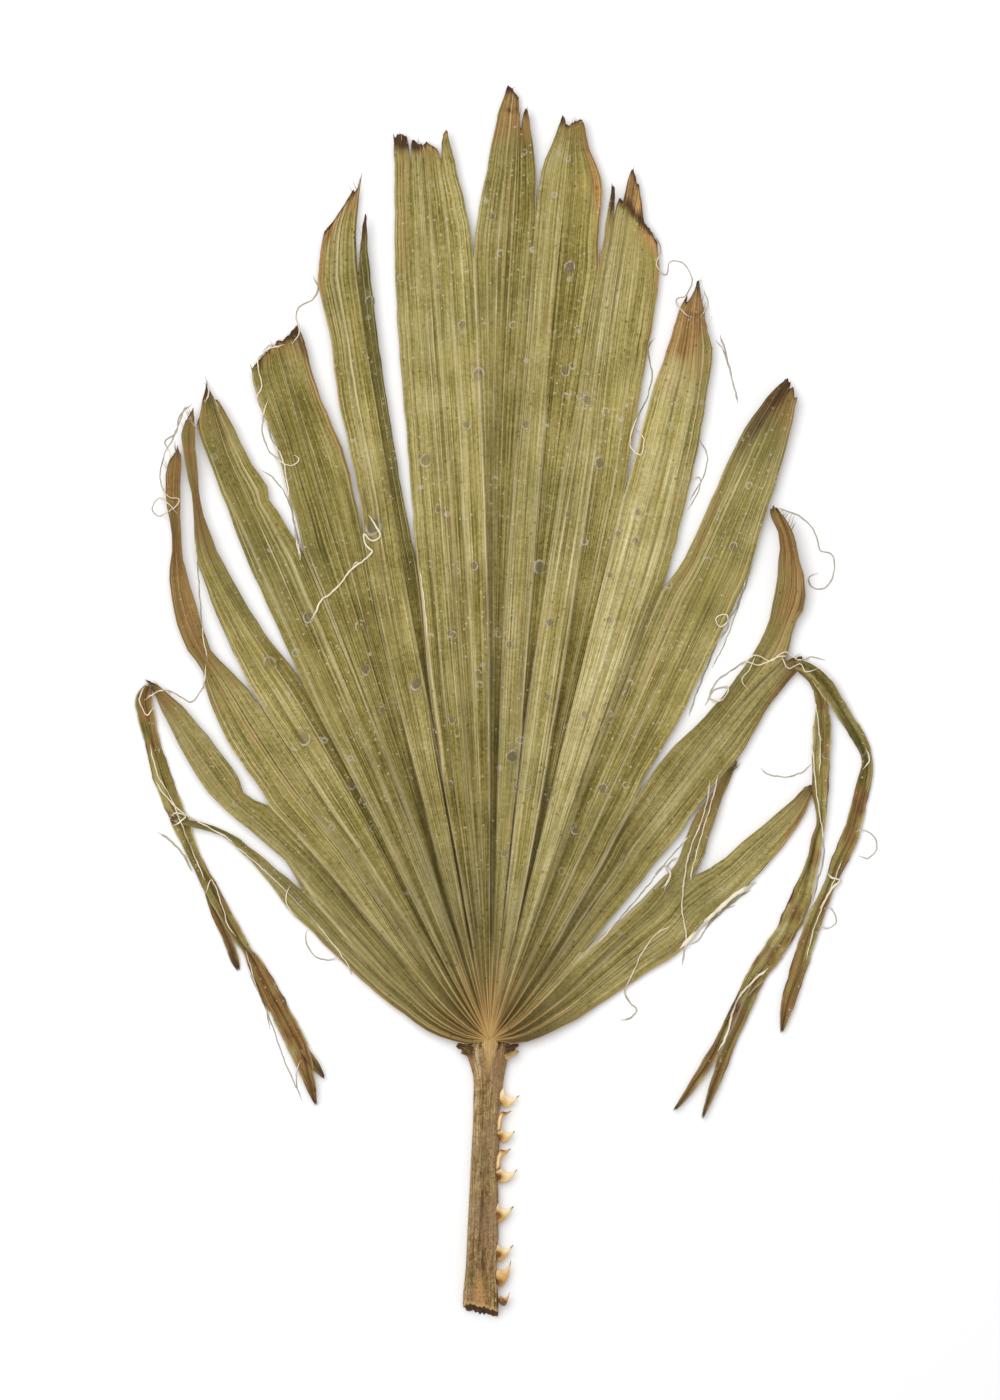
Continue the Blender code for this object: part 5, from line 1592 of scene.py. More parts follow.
RIBBONS = (
    Ribbon(
        "left_hanging_strip",
        (
            (-136.5, 141.5, 3.4, 1.9), (-138.4, 136, 6.8, 1.2), (-137, 128, 6.8, 0.5),
            (-135.2, 120, 6.2, 0), (-130.6, 104, 7.2, 0), (-124.2, 88, 7, 0),
            (-117.4, 72, 5, 0.4), (-109, 56, 5.6, 0.4), (-101.6, 43, 5, 0.4),
            (-97.2, 36, 3.6, 0.6), (-94.2, 31, 6, 0.4), (-86.4, 16, 7.8, 0), (-78, 0, 8, 0.5),
            (-74.8, -8, 7.2, 1.2), (-72.9, -14, 5.4, 1.5), (-71.2, -20, 3.6, 1.7),
            (-69.4, -26.4, 0.9, 1.8),
        ),
        Tone.MUTED, ((0, 0.85), (0.08, 0.45), (0.5, 0.4), (0.62, 0.55), (0.8, 0.75), (1, 0.9)),
    ),
    Ribbon(
        "left_strip_fork", ((-74.6, -3, 3.4, 0.7), (-70.6, -9, 3.4, 1.3), (-68, -12.6, 2.4, 1.5),
                            (-65.8, -15.8, 0.7, 1.6)),
        Tone.MUTED, ((0, 0.7), (1, 0.95)),
    ),
    Ribbon(
        "left_strip_spur",
        (
            (-113.4, 62, 3, 0.3), (-109.6, 52, 4.4, 0), (-104.8, 40, 3.8, 0), (-102, 32, 3.4, 0),
            (-100.4, 27.6, 0.9, 0.2),
        ),
        Tone.DARK, ((0, 0.4), (0.6, 0.7), (1, 1.0)),
    ),
    Ribbon(
        "right_hanging_strip",
        (
            (121.6, 149.8, 4, 3.1), (126.6, 148.6, 5, 3), (132.8, 143, 6.2, 2.6),
            (137.8, 136, 6.4, 1.8), (143, 128, 5.6, 0.8), (148, 120, 5.2, 0.2),
            (150.8, 112, 4.4, 0), (149.8, 104, 5.6, 0), (147.8, 96, 5.8, 0), (146, 88, 6.6, 0),
            (143.4, 80, 6.8, 0), (139.8, 72, 6.4, 0.2), (136, 63, 4.8, 0.6), (133.2, 56, 5, 0.4),
            (129.6, 48, 6.6, 0), (124.4, 32, 6.4, 0), (119.4, 16, 5.8, 0.6),
            (117.6, 8, 3.4, 1), (116.4, 2.4, 0.9, 1.2),
        ),
        Tone.MUTED, ((0, 0.2), (0.25, 0.25), (0.4, 0.5), (0.6, 0.4), (0.8, 0.65), (1, 0.95)),
    ),
    Ribbon(
        "inner_hanging_strip",
        (
            (124.8, 148.8, 4.4, 2.3), (129.4, 143.4, 3.6, 2.2), (132.2, 136, 4.4, 1.9),
            (132.8, 128, 6.4, 1.7), (132.6, 120, 7.4, 1.6), (132.2, 108, 7, 1.7),
            (132, 98, 6, 1.7), (132.4, 88, 3.8, 1.4), (130.6, 80, 4.4, 0.9), (129.2, 72, 5, 0.4),
            (126.4, 63, 7, 0), (123.2, 54, 8.4, 0), (118.6, 44, 8.6, 0), (112, 33.6, 8.4, 0),
            (105.4, 24.6, 7, 0), (99.6, 16, 3.2, 0), (95.8, 8, 3.6, 0), (92, 0, 3.8, 0.2),
            (87.6, -8, 4.4, 0.6), (82.4, -16, 3.8, 1), (76.8, -24, 2.4, 1.4),
            (73.2, -28.4, 0.9, 1.6),
        ),
        Tone.MID, ((0, 0.3), (0.3, 0.35), (0.5, 0.3), (0.8, 0.55), (1, 0.95)),
    ),
    Ribbon(
        "inner_strip_fork",
        (
            (108.4, 26, 4.6, 0.2), (104, 16.4, 4.2, 0.2), (100.4, 8, 4, 0.2), (96.8, 0, 4, 0.2),
            (93.4, -8, 4.4, 0.4), (90.4, -16, 4, 0.9), (87.4, -24, 2.8, 1.4),
            (84.8, -31.6, 0.9, 1.8),
        ),
        Tone.MUTED, ((0, 0.4), (0.6, 0.6), (1, 0.95)),
    ),
)


@dataclass
class HangingStrips:
    """The ribbons that fold back from the ends of the outer segments."""

    fold: float = 0.7
    slope: float = 0.16
    spacing: float = 1.2
    cells: int = 12
    underside: float = 0.15
    thickness: float = 0.62
    wave: float = 0.35
    lift: float = 0.09
    finish: LeafFinish = LeafFinish(name="dried_palm_strip", tan=(0.43, 0.240, 0.085),
                                    rust=(0.165, 0.064, 0.016))

    def ribbon(self, ribbon: Ribbon, number: int, material: bpy.types.Material) -> bpy.types.Object:
        """Make one strip.

        Args:
            ribbon: Its route and finish.
            number: Its number, which seeds its wear.
            material: Its material.

        Returns:
            The piece.
        """
        route = spline(np.array(ribbon.route), self.spacing)
        share = np.linspace(0, 1, len(route))
        ahead = np.gradient(route[:, :2], axis=0)
        ahead = ahead / np.linalg.norm(ahead, axis=1)[:, None]
        side = np.stack([ahead[:, 1], -ahead[:, 0]], axis=-1)
        length = np.concatenate([[0], np.cumsum(np.linalg.norm(np.diff(route[:, :2], axis=0),
                                                               axis=1))])
        across = np.linspace(-1, 1, self.cells + 1)
        draw = np.random.default_rng(700 + number)
        torn = draw.uniform(0, ribbon.fray, self.cells + 1)
        width = route[:, 2] * (1 + 0.05 * ripple(length, 40 + number, 24))
        left = width / 2 * (1 + 0.05 * ripple(length, 80 + number, 9))
        right = width / 2 * (1 + 0.05 * ripple(length, 120 + number, 11))
        reach = np.where(across[None, :] < 0, left[:, None], right[:, None]) * across[None, :]
        middle = 0.22 * ripple(length, 160 + number, 70)[:, None]
        rise = np.minimum(self.fold, route[:, 2] * self.slope)[:, None]
        crease = np.abs(across[None, :] - middle)
        wave = self.wave * (0.5 + 0.5 * ripple(length[:, None] + 6 * across, 200 + number, 30))
        lean = ribbon.twist * ripple(length, 240 + number, 55)[:, None]
        under = (route[:, 3][:, None] + self.underside + rise * crease
                 + wave * np.abs(across) * 0.6 + 0.3 * (lean * across[None, :] + np.abs(lean)))
        pull = (torn[None, :] * ease((share[:, None] - 0.9) / 0.1))
        x = route[:, 0][:, None] + side[:, 0][:, None] * reach - ahead[:, 0][:, None] * pull
        y = route[:, 1][:, None] + side[:, 1][:, None] * reach - ahead[:, 1][:, None] * pull
        groove = np.exp(-(crease * width[:, None] / 2 / 0.45) ** 2)
        second = np.exp(-((across[None, :] - 0.55 + middle) * width[:, None] / 2 / 0.4) ** 2)
        edge = (1 - np.abs(across))[None, :] * width[:, None] / 2
        rim = np.exp(-edge / 0.35)
        patch = ripple(length[:, None] + 2 * across, 280 + number, 48)
        cloud = swell(x, y, 360 + number, 11)
        tip = np.exp(-(length[-1] - length) / 4)[:, None]
        brown = smooth_curve(ribbon.browning, share)[:, None]
        full = np.ones((len(route), self.cells + 1))
        marks = {
            "across": full * (across[None, :] * 4.5 + 400 + 31 * number),
            "along": full * (length[:, None] + 200),
            "tone": full * (ribbon.tone.value + self.lift) + 0.13 * np.tanh(across * 6)[None, :] * full
            * np.tanh(3 * ripple(length, 320 + number, 120))[:, None],
            "pale": np.clip(rim * (0.4 + 0.7 * patch) + ribbon.pale, 0, 1),
            # dark: painted shade in the strip's middle groove, and a second dark line beside it.
            "dark": np.clip(0.8 * groove + 0.5 * second * ease(patch * 3), 0, 1),
            "rust": np.clip(brown + 0.35 * cloud + 0.5 * rim * ease(-patch * 3) + 0.4 * tip, 0, 1),
            "burnt": np.clip(0.6 * tip * (0.6 + 0.5 * patch) + 0.5 * rim * ease(-patch * 3)
                             + ribbon.char * ease((cloud - 0.25) * 3), 0, 1),
            "green": full * 0.0,
            "straw": full * 0.0,
        }
        over = under + self.thickness - 0.25 * groove
        sheet = Sheet()
        flat = {name: (values * full).ravel() for name, values in marks.items()}
        ids = sheet.add_points(np.stack([x.ravel(), y.ravel(), over.ravel()], axis=-1),
                               np.stack([x.ravel(), y.ravel(), under.ravel()], axis=-1), flat)
        sheet.add_grid(ids.reshape(x.shape), 0, 0)
        return dress(sheet.build(ribbon.name), material, "dried_blade", "blade")

    def build(self) -> list[bpy.types.Object]:
        """Make all the strips."""
        material = self.finish.material()
        return [self.ribbon(ribbon, number, material) for number, ribbon in enumerate(RIBBONS)]


@dataclass
class Stalk:
    """Leaf stalk: flat below, grooved above, torn at its foot, with ragged ears at its top."""

    rows: tuple[tuple[float, float, float, float], ...] = (
        (-110, -10.9, 3.6, 6.2), (-108, -11.1, 3.6, 6.6), (-102, -11.0, 3.5, 6.9),
        (-92, -10.0, 2.9, 6.8), (-78, -9.3, 3.6, 6.6), (-63, -8.5, 3.6, 6.4), (-49, -7.8, 3.1, 6.2),
        (-41, -7.4, 4.0, 6.1), (-34, -7.0, 3.4, 6), (-24, -6.8, 4.7, 5.9), (-14, -7.0, 5.9, 5.7),
        (-9, -8.4, 6.9, 5.3), (-5.5, -9.5, 7.5, 4.9), (-3.2, -9.8, 7.9, 4.5), (-1.9, -9.4, 8.0, 4.1),
        (-0.6, -8.4, 7.8, 3.8), (2, -7, 7, 3.4), (5, -4, 4, 3.2),
    )
    section: tuple[tuple[float, float], ...] = (
        (-0.62, 0), (0.62, 0), (0.9, 0.22), (1, 0.5), (0.9, 0.8), (0.66, 0.97), (0.42, 0.88),
        (0.16, 0.95), (-0.1, 0.84), (-0.36, 0.94), (-0.66, 1), (-0.9, 0.8), (-1, 0.5),
        (-0.9, 0.22),
    )
    around: int = 72
    pitch: float = 1.0
    groove: float = 0.22
    foot_length: float = 12.0
    foot_slant: float = 3.2
    foot_lip: float = 3.2
    cap_rings: tuple[float, ...] = (0.86, 0.64, 0.38, 0.14)
    finish: StalkFinish = StalkFinish()

    def outline(self) -> np.ndarray:
        """Finer section of the stalk, as shares of half its width and of its height."""
        corners = np.array(self.section + (self.section[0],), float)
        steps = np.linalg.norm(np.diff(corners * (1.0, 0.8), axis=0), axis=1)
        place = np.concatenate([[0], np.cumsum(steps)])
        at = np.linspace(0, place[-1], self.around, endpoint=False)
        ring = np.stack([np.interp(at, place, corners[:, i]) for i in range(2)], axis=-1)
        for _ in range(2):
            ring = (np.roll(ring, 1, axis=0) + 2 * ring + np.roll(ring, -1, axis=0)) / 4
        return ring

    def shaft(self) -> bpy.types.Object:
        """Make the stalk itself."""
        rows = np.array(self.rows)
        y = np.arange(rows[0, 0], rows[-1, 0] + self.pitch / 2, self.pitch)
        left = smooth_curve(tuple(zip(rows[:, 0], rows[:, 1])), y)[:, None]
        right = smooth_curve(tuple(zip(rows[:, 0], rows[:, 2])), y)[:, None]
        tall = smooth_curve(tuple(zip(rows[:, 0], rows[:, 3])), y)[:, None]
        ring = self.outline()
        u, v = ring[:, 0][None, :], ring[:, 1][None, :]
        half = (right - left) / 2
        x = (left + right) / 2 + u * half
        z = v * tall
        side = u * 9 + np.where(v > 0.5, 0, 30)
        cut = ripple(side + 0.02 * y[:, None], 11, 7.0) + 0.6 * ripple(side, 12, 2.6)
        rough = self.groove * cut * np.clip(v * 2, 0, 1)
        rough = rough + 0.16 * ripple(side * 2.3 + 1.1 * y[:, None], 14, 3.0) * np.clip(v, 0, 1)
        x = x - u * np.abs(rough) * 0.5
        z = np.clip(z - np.abs(rough) * (v > 0.3) * 1.2, 0, None)
        dip = np.exp(-((x + 3.0 - 0.010 * (y[:, None] + 60)) / 1.1) ** 2) * (v > 0.5)
        z = z - 0.35 * dip * (1 - ease((y[:, None] + 45) / 30))
        jag = 0.5 * ripple(side * 1.3, 16, 2.9) + 0.6 * ripple(side * 3.1, 18, 2.0) * (1.2 - v)
        end = -104.7 - self.foot_slant * ((u + 1) / 2) ** 1.4 - self.foot_lip * (1 - v) + jag
        foot = 1 - ease((y[:, None] - y[0]) / self.foot_length)
        ys = y[:, None] + (np.maximum(end, cad_low.y / MM + 0.8) - y[0]) * foot
        count, sides = x.shape
        points = np.stack([x, ys, z], axis=-1).reshape(-1, 3)
        ids = np.arange(count * sides).reshape(count, sides)
        after = np.roll(ids, -1, axis=1)
        quads = np.stack([ids[:-1], after[:-1], after[1:], ids[1:]], axis=-1).reshape(-1, 4)
        faces = quads.tolist()
        for row in (0, count - 1):
            outer, middle = ids[row], points[ids[row]].mean(axis=0)
            for ring_number, share in enumerate(self.cap_rings):
                inner = middle + (points[ids[row]] - middle) * share
                inner[:, 1] += 0.3 + 0.45 * ripple(inner[:, 0] * 2 + 9 * share, 17, 1.7)
                new = np.arange(len(points), len(points) + sides)
                points = np.vstack([points, inner])
                faces += np.stack([outer, np.roll(outer, -1), np.roll(new, -1), new],
                                  axis=-1).tolist()
                outer = new
            faces.append(outer.tolist())
        along = points[:, 1]
        extra = len(points) - count * sides
        wide = np.concatenate([np.tile(side.ravel(), count), points[count * sides:, 0] * 3])
        streak = np.exp(-((x + 3.0 - 0.010 * (y[:, None] + 60)) / 1.2) ** 2) * (v > 0.5)
        streak = streak * (0.15 + 0.4 * (1 - ease((y[:, None] + 60) / 25)))
        streak = streak * (0.7 + 0.5 * ripple(y[:, None] + 0 * x, 19, 21)) * ease((y[:, None] + 99) / 8)
        shade = np.concatenate([np.clip(streak, 0, 1).ravel(), np.full(extra, 0.85)])
        # Painted shade low on the stalk, where it nears the table.
        under = np.clip(1 - points[:, 2] / 1.4, 0, 1) * 0.5
        reach = np.clip(-along - 90, 0, 18)
        orange = np.exp(-((points[:, 0] + 4.4) / (0.4 + 0.13 * reach)) ** 2) * ease(reach / 4)
        flank = np.clip(np.abs(points[:, 0] + 2) - 3.6, 0, 2) / 2
        top = ease((along + 22) / 14)
        lip = np.zeros(len(points))
        lip[:sides] = 0.7 * (v[0] > 0.7)
        lip[sides:2 * sides] = 0.4 * (v[0] > 0.7)
        marks = {
            "across": wide * 0.9,
            "along": along,
            "tone": 0.63 + 0.05 * np.sign(np.sin(points[:, 0] * 1.1)) + 0.05 * (points[:, 0] < -6)
            - 0.14 * flank * top - 0.12 * ease((-along - 58) / 40) + 0.12 * top,
            "dark": np.clip(np.maximum.reduce([shade, under, 0.3 * flank * top]), 0, 1),
            "warm": np.clip(np.maximum(orange * 1.4 * (under < 0.1), 0.25 * flank * top), 0, 1),
            "pale": lip,
        }
        marks["warm"][count * sides:] = 0.0
        return make_piece("leaf_stalk", points * MM, faces, marks, 50)

    def crest(self) -> bpy.types.Object:
        """Make the pale wedge of fibres that runs from the stalk onto the blade."""
        rows, cells = 40, 36
        share = np.linspace(0, 1, rows + 1)[:, None]
        across = np.linspace(-1, 1, cells + 1)[None, :]
        y = -17 + 21 * share + 0 * across
        middle = smooth_curve(((-17, -0.4), (-8, -0.2), (4, 0.1)), y)
        half = smooth_curve(((-17, 0.2), (-13, 1.0), (-8, 2.0), (-4, 3.0), (-1.5, 3.3), (0.5, 2.4),
                             (2, 1.3), (4, 0.25)), y)
        half = half * (1 + 0.08 * ripple(y, 60, 6))
        x = middle + across * half
        base = smooth_curve(((-17, 4.7), (-10, 4.5), (-4, 4.7), (-1, 5.1), (2, 5.8), (4, 5.8)), y)
        crown = smooth_curve(((-17, 0.4), (-10, 1.0), (-4, 1.5), (-1, 1.6), (2, 1.0), (4, 0.7)), y)
        lines = ripple(across * 8 + 0.03 * y, 61, 1.5)
        over = base + crown * np.sqrt(np.clip(1 - across ** 2, 0, 1)) + 0.16 * lines
        under = base - 1.0 + 0 * across
        marks = {
            "across": (across * 12.0 + 0 * x).ravel(),
            "along": y.ravel(),
            "tone": (0.72 + 0.12 * lines + 0 * x).ravel(),
            # dark: painted shade in the low grooves between the fibre lines, and darker along the
            # crest's rims.
            "dark": np.clip(0.7 * (lines < -0.4) * (0.3 + 0.7 * np.abs(across))
                            + 0.3 * np.exp(-(1 - np.abs(across)) * half / 0.3), 0, 1).ravel(),
            "warm": np.clip(0.35 * np.abs(across) + 0.1 + 0 * x, 0, 1).ravel(),
            "pale": np.clip(1.25 + 0.5 * lines - 0.3 * np.abs(across) ** 3 + 0 * x, 0, 1).ravel(),
        }
        sheet = Sheet()
        ids = sheet.add_points(np.stack([x.ravel(), y.ravel(), over.ravel()], axis=-1),
                               np.stack([x.ravel(), y.ravel(), under.ravel()], axis=-1), marks)
        sheet.add_grid(ids.reshape(x.shape), 0, 0)
        return sheet.build("stalk_crest", 60)

    def ears(self) -> bpy.types.Object:
        """Make the torn scraps of sheath beside the top of the stalk."""
        sheet = Sheet()
        scraps = (
            ((-13.2, -1.9), (-6.8, -4.0), 3.0, 0.75, 0.0), ((-11.4, -4.6), (-6.6, -6.0), 2.2, 0.45, 0.2),
            ((-12.2, -2.6), (-8.0, -4.6), 1.2, 0.2, 0.5), ((11.4, -1.8), (6.2, -3.2), 2.2, 0.8, 0.0),
            ((11.3, -4.3), (6.0, -6.8), 2.0, 0.1, 0.9), ((10.2, -3.1), (6.2, -4.6), 1.8, 0.6, 0.1),
        )
        for number, (tip, root, wide, dark, pale) in enumerate(scraps):
            share = np.linspace(0, 1, 13)[:, None]
            across = np.linspace(-1, 1, 9)[None, :]
            start, end = np.array(root), np.array(tip)
            ahead = (end - start) / np.linalg.norm(end - start)
            side = np.array([ahead[1], -ahead[0]])
            half = wide / 2 * (1 - share ** 3 * 0.45) * (1 + 0.2 * ripple(share * 9, number, 5))
            ragged = share + 0.06 * share * ripple(across * 4, 30 + number, 3.0)
            curl = 0.7 * ripple(share * 5 + across, 50 + number, 4)
            x = start[0] + (end[0] - start[0]) * ragged + side[0] * half * across
            y = start[1] + (end[1] - start[1]) * ragged + side[1] * half * across
            z = 4.5 - 1.6 * share + curl * share + 0.8 * np.abs(across)
            flat = np.ones(x.shape)
            marks = {
                "across": (across * 3 * flat).ravel(), "along": (share * 4 * flat).ravel(),
                "tone": (0.45 * flat).ravel(), "dark": (dark * flat).ravel(),
                "warm": (0.2 * flat).ravel(), "pale": (pale * flat).ravel(),
            }
            ids = sheet.add_points(
                np.stack([x.ravel(), y.ravel(), (z * flat).ravel() + 0.45], axis=-1),
                np.stack([x.ravel(), y.ravel(), (z * flat).ravel()], axis=-1), marks)
            sheet.add_grid(ids.reshape(x.shape), 0, 0)
        return sheet.build("stalk_ears", 60)

    def build(self) -> list[bpy.types.Object]:
        """Make the stalk with its crest and its ears."""
        material = self.finish.material()
        made = dress(self.shaft(), material, "dried_stalk", "stalk")
        crest = dress(self.crest(), material, "dried_stalk")
        ears = dress(self.ears(), material, "dried_stalk")
        return [made, crest, ears]


@dataclass(frozen=True)
class Claw:
    """One hook seen from above: its two sides from root to point, and its amber heart."""

    upper: tuple[Pixel, ...]
    lower: tuple[Pixel, ...]
    heart: Pixel
    glow: float = 0.9
    brown: float = 0.0


CLAWS = (
    Claw(((3.7, -22.4), (4.2, -20.2), (5.4, -19.0), (6.0, -21.4), (7.6, -22.6), (9.6, -22.8),
          (11.8, -21.9)),
         ((3.7, -23.4), (4.2, -25.0), (5.6, -26.8), (7.0, -26.9), (8.6, -25.6), (10.2, -24.0),
          (11.8, -22.1)), (4.4, -25.0), 0.6),
    Claw(((2.7, -36.6), (2.9, -34.6), (3.1, -32.0), (3.7, -29.8), (4.9, -28.4), (6.6, -28.6),
          (8.5, -28.1)),
         ((4.4, -36.2), (4.6, -34.4), (4.8, -32.4), (5.2, -30.8), (6.2, -30.0), (7.4, -29.3),
          (8.5, -28.3)), (5.8, -27.9), 1.5, -0.1),
    Claw(((2.8, -37.0), (3.2, -36.0), (4.4, -35.4), (5.4, -36.4), (7.0, -37.0), (8.6, -36.8),
          (10.0, -36.1)),
         ((2.8, -37.6), (3.4, -38.9), (4.6, -40.6), (5.6, -41.2), (7.2, -40.0), (8.6, -38.4),
          (10.0, -36.3)), (3.8, -38.4)),
    Claw(((2.3, -52.4), (2.4, -50.0), (2.6, -47.4), (3.2, -45.2), (4.2, -43.6), (6.2, -43.9),
          (8.3, -43.1)),
         ((4.2, -51.2), (4.3, -49.6), (4.5, -47.6), (5.1, -46.2), (6.3, -45.6), (7.4, -44.5),
          (8.3, -43.3)), (5.2, -43.1), 1.5, -0.1),
    Claw(((2.2, -52.8), (2.8, -51.6), (4.2, -51.0), (5.4, -52.4), (7.4, -52.9), (9.4, -52.4),
          (11.0, -51.4)),
         ((2.2, -53.4), (3.0, -55.0), (4.0, -56.9), (5.2, -57.1), (7.4, -56.2), (9.2, -54.4),
          (11.0, -51.6)), (3.2, -54.2), 1.0),
    Claw(((1.9, -67.2), (2.2, -65.6), (3.0, -64.5), (3.7, -66.6), (5.2, -67.6), (7.2, -67.4),
          (9.6, -66.1)),
         ((1.9, -68.4), (2.4, -70.6), (3.4, -73.0), (4.6, -72.7), (6.2, -71.2), (7.8, -69.2),
          (9.6, -66.3)), (3.0, -69.8), 1.1),
    Claw(((1.7, -83.0), (2.0, -81.8), (2.7, -80.7), (3.8, -82.6), (5.2, -83.4), (7.2, -83.0),
          (9.4, -81.6)),
         ((1.7, -84.2), (2.4, -86.6), (3.8, -88.7), (5.0, -88.0), (6.4, -86.4), (7.8, -84.4),
          (9.4, -81.8)), (2.9, -85.3), 1.1),
    Claw(((2.3, -93.0), (2.6, -91.8), (3.6, -91.4), (5.0, -91.7), (6.4, -91.2), (7.5, -89.8),
          (8.5, -87.7)),
         ((2.3, -94.4), (2.8, -96.6), (4.0, -98.8), (5.4, -97.8), (6.8, -95.6), (7.8, -92.6),
          (8.5, -87.9)), (3.6, -96.2), 0.6, 0.3),
    Claw(((3.2, -103.4), (4.4, -102.0), (5.2, -102.6), (6.0, -103.0), (6.8, -102.4), (7.4, -101.4),
          (7.9, -100.4)),
         ((3.2, -104.2), (4.4, -105.6), (5.4, -106.2), (6.4, -105.6), (7.0, -104.4), (7.5, -102.8),
          (7.9, -100.6)), (4.4, -104.4), 1.0, 0.35),
)


@dataclass
class ToothedMargin:
    """The hard teeth along the stalk's right side."""

    middle: float = 3.3
    root_height: float = 2.5
    rows: int = 30
    around: int = 20
    thin: float = 0.12
    taper: float = 1.15
    glow_size: float = 1.6
    finish: ToothFinish = ToothFinish()

    def rings(self, claw: Claw) -> tuple[np.ndarray, np.ndarray, np.ndarray]:
        """Rings of one tooth, from its root to its point.

        Args:
            claw: The tooth.

        Returns:
            Points, how far out they are, and how near the tooth's heart.
        """
        out = np.linspace(0, 1, self.rows)
        knots = np.linspace(0, 1, len(claw.upper))
        sides = [
            np.column_stack([smooth_curve(tuple(zip(knots, axis)), out) for axis in zip(*side)])
            for side in (claw.upper, claw.lower)
        ]
        middle, half = (sides[0] + sides[1]) / 2, (sides[0] - sides[1]) / 2
        tall = self.thin + self.root_height * (1 - out) ** self.taper * (0.6 + 0.4 * ease(out / 0.2))
        turns = np.linspace(0, 2 * np.pi, self.around, endpoint=False)
        plan = middle[:, None, :] + half[:, None, :] * np.cos(turns)[None, :, None]
        rise = np.sign(np.sin(turns)) * np.abs(np.sin(turns)) ** 0.8
        height = self.middle + tall[:, None] * rise[None, :]
        away = np.linalg.norm((plan - np.array(claw.heart)) * (0.75, 1.0), axis=-1) / self.glow_size
        # belly: deeper amber along the lower side of each tooth, the tooth's own amber darkened further
        # as painted shade.
        belly = 0.34 * (1 - np.cos(turns))[None, :] * (1 - out)[:, None] ** 0.6
        heart = claw.glow * np.exp(-away ** 2) + belly * claw.glow + claw.brown
        points = np.concatenate([plan, height[:, :, None]], axis=-1)
        return points.reshape(-1, 3), np.repeat(out, self.around), heart.ravel()

    def build(self) -> bpy.types.Object:
        """Make all the teeth in one piece."""
        points, faces, reach, heart = [], [], [], []
        start = 0
        for claw in CLAWS:
            ring_points, ring_reach, ring_heart = self.rings(claw)
            ids = np.arange(self.rows * self.around).reshape(self.rows, self.around) + start
            after = np.roll(ids, -1, axis=1)
            quads = np.stack([ids[:-1], after[:-1], after[1:], ids[1:]], axis=-1)
            faces += quads.reshape(-1, 4).tolist() + [ids[0].tolist(), ids[-1].tolist()]
            points.append(ring_points)
            reach.append(ring_reach)
            heart.append(ring_heart)
            start += len(ring_points)
        marks = {"reach": np.concatenate(reach), "heart": np.concatenate(heart)}
        made = make_piece("stalk_hooks", np.vstack(points) * MM, faces, marks, 60)
        return dress(made, self.finish.material(), "amber_teeth", "stalk_teeth")


@dataclass(frozen=True)
class Spot:
    """A ring spot: its pixel, its width in pixels and how dark its middle is."""

    x: float
    y: float
    width: float
    dark: float = 0.3


